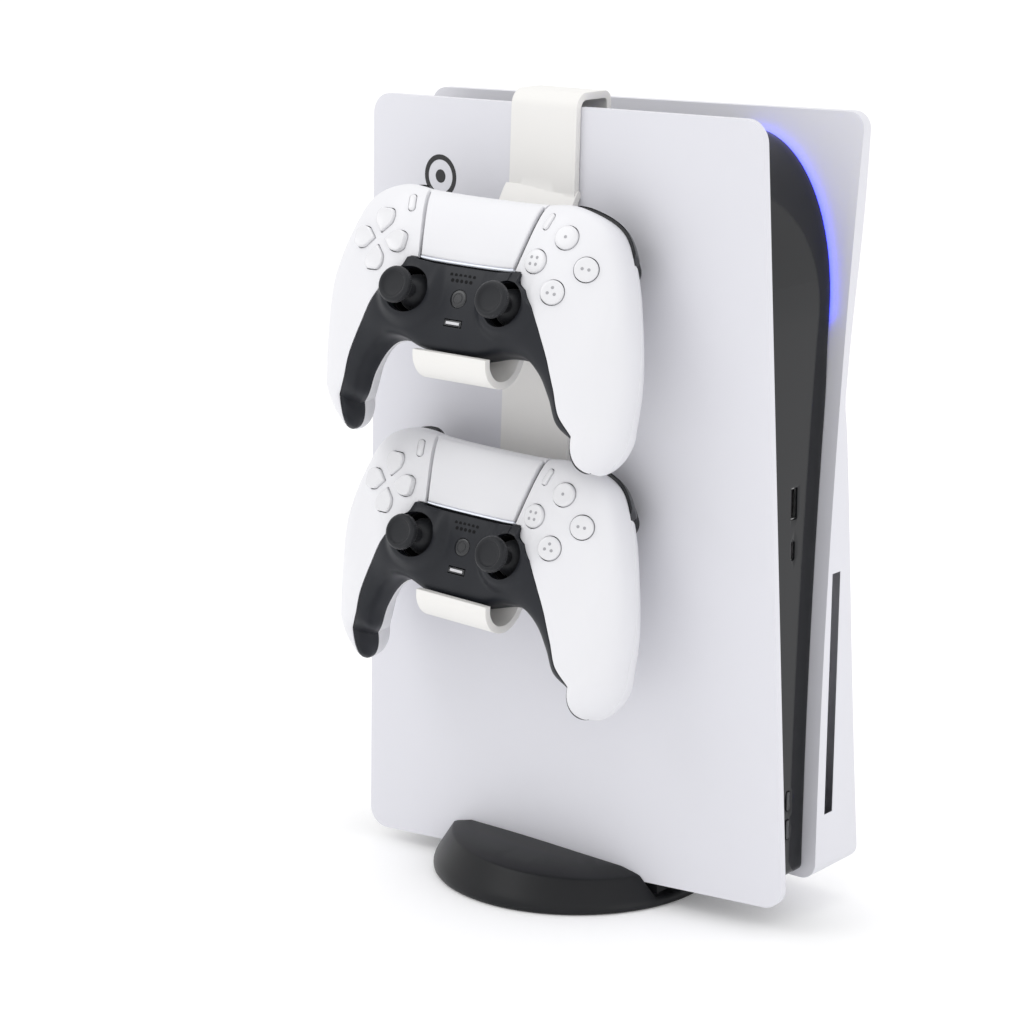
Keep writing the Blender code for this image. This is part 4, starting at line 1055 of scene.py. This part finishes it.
def strap_place(p, x, inset):
    n, z = p
    y = 4.2 + 0.06 * (412 - z) - x * (HW - inset)
    return (left_outer(y, min(z, 408)) - n, y, z)


def hanger():
    n0 = 0.4 + HT / 2
    top_z, low_z = 410.3, 222.0
    path = [(n0, z) for z in np.linspace(low_z, top_z - 8, 30)]
    c = (n0 - 6.0, top_z - 4.2)
    path += [(c[0] + 6.0 * cos(a), c[1] + 6.0 * sin(a)) for a in np.linspace(0, pi / 2, 12)]
    path += [(x, top_z + 1.8) for x in (-8.0, -12.0, -16.0, -18.0)]
    c = (-18.5, top_z - 2.2)
    path += [(c[0] - 4.0 * sin(a), c[1] + 4.0 * cos(a)) for a in np.linspace(0.15, pi / 2, 9)]
    path += [(-22.5, 404.0), (-22.5, 399.0)]
    o = ribbon("hanger_skin", path, HT, strap_place, M_HANGER)

    def arm(name, mtx, v_top, dv, dw):
        pts = [(v_top + 2, -36.3), (v_top - 4, -35.5), (v_top * 0.75, -35.1), (v_top * 0.4, -35.0), (0.0, -35.0), (-14.0, -35.0)]
        pts += [(-22.0, -34.0), (-28.0, -30.0), (-31.0, -24.0), (-30.6, -18.0), (-27.6, -13.2), (-23.4, -10.6)]

        def place(p, x, inset):
            q = mtx @ (Vector((x * (HU - inset), p[0] + dv, p[1] + dw)) * MM)
            return (q.x / MM, q.y / MM, q.z / MM)
        return ribbon(name, smooth_path(pts), HT / HK, place, None, end_round=0.0)
    a1 = arm("cut_arm_upper", UPT, 70.3, -2.0, -2.5)
    a2 = arm("cut_arm_lower", LOT, 56.2, 0.0, -2.0)
    boolean(o, a1, "UNION")
    boolean(o, a2, "UNION")
    apply(o, 50)
    bevel(o, 1.1, 4, 55)
    apply(o, 45)
    put(o, "console", "hanger", slot="hanger_white")


hanger()

# ---------------------------------------------- generic mark on the panel
my, mz = 79.0, 366.0
mx = left_outer(my, mz)
bm = loft([[((r + 0) * cos(a), r * sin(a), h) for a in np.linspace(0, 2 * pi, 96, endpoint=False)]
           for r, h in ((11.0, -0.3), (11.0, 0.12), (8.4, 0.12), (8.4, -0.3))], caps=False)
bmesh.ops.bridge_loops(bm, edges=[e for e in bm.edges if e.is_boundary])
ey = Vector((left_outer(my + 1, mz) - mx, 1, 0)).normalized()
ez = Vector((left_outer(my, mz + 1) - mx, 0, 1)).normalized()
en = ey.cross(ez)
if en.x > 0:
    en = -en
ey = ez.cross(en)
MK = Matrix.Translation(Vector((mx, my, mz)) * MM) @ Matrix((ey, ez, en)).transposed().to_4x4()
put(new_object("panel_mark_ring", bm, M_INK, mtx=MK), "console", slot="satin_black")
put(turned("panel_mark_dot", [(0.001, -0.3), (3.4, -0.3), (3.4, 0.12), (0.001, 0.12)], M_INK, 48, MK), "console", slot="satin_black")

# ------------------------------------------------------- floor and backdrop
bm = bmesh.new()
bmesh.ops.create_grid(bm, x_segments=2, y_segments=2, size=40.0)
floor = new_object("floor", bm, None)
fm = bpy.data.materials.new("floor_white")
fm.use_nodes = True
fb = fm.node_tree.nodes["Principled BSDF"]
fb.inputs["Base Color"].default_value = (0.93, 0.93, 0.935, 1)
fb.inputs["Roughness"].default_value = 0.7
fb.inputs["Specular IOR Level"].default_value = 0.2
fb.inputs["Emission Color"].default_value = (1, 1, 1, 1)
fb.inputs["Emission Strength"].default_value = 0.12
fn = node(fm.node_tree, "ShaderNodeTexNoise")
fn.inputs["Scale"].default_value = 60.0
fbmp = node(fm.node_tree, "ShaderNodeBump")
fbmp.inputs["Strength"].default_value = 0.05
fbmp.inputs["Distance"].default_value = 0.0005
fm.node_tree.links.new(fn.outputs["Fac"], fbmp.inputs["Height"])
fm.node_tree.links.new(fbmp.outputs["Normal"], fb.inputs["Normal"])
floor.data.materials.append(fm)

for o in list(bpy.data.objects):
    if o.type == "MESH" and o.name.endswith("trim_skin"):
        o.data.validate()
        o.data.update()

# ------------------------------------------------------------------ lights
sc = bpy.context.scene
sc.view_settings.view_transform = "Standard"
sc.view_settings.look = "None"
world = bpy.data.worlds.new("studio")
sc.world = world
world.use_nodes = True
bg = world.node_tree.nodes["Background"]
bg.inputs["Color"].default_value = (1.0, 1.0, 1.0, 1)
bg.inputs["Strength"].default_value = 1.0


def area(name, loc, target, size, power, color=(1, 1, 1), size_y=None):
    l = bpy.data.lights.new(name, "AREA")
    l.energy = power
    l.color = color
    l.shape = "RECTANGLE"
    l.size = size
    l.size_y = size_y or size
    o = bpy.data.objects.new(name, l)
    sc.collection.objects.link(o)
    o.location = loc
    d = Vector(target) - Vector(loc)
    o.rotation_euler = d.to_track_quat("-Z", "Y").to_euler()
    return o


area("key", (-1.1, 0.75, 1.5), (0, 0, 0.22), 0.9, 4.2)
area("front_fill", (-0.3, -1.9, 0.9), (0, 0, 0.2), 1.0, 2.2)
area("top", (0.1, 0.0, 2.0), (0, 0, 0.1), 1.4, 3.2)

# ------------------------------------------------------------------ camera
A, E = radians(-52.1356), radians(13.29607)
T = Vector((-0.027156, 0.03636, 0.19547))
back = Vector((sin(A) * cos(E), -cos(A) * cos(E), sin(E)))
cam = bpy.data.cameras.new("camera")
cam.lens = 36.0 * 2910.21 / 1024.0
cam.sensor_width = 36.0
cam.clip_start = 0.01
co = bpy.data.objects.new("camera", cam)
sc.collection.objects.link(co)
co.location = T + back * 1.49975
co.rotation_euler = (-back).to_track_quat("-Z", "Y").to_euler()
sc.camera = co

for c in list(CUTS.objects):
    bpy.data.objects.remove(c, do_unlink=True)
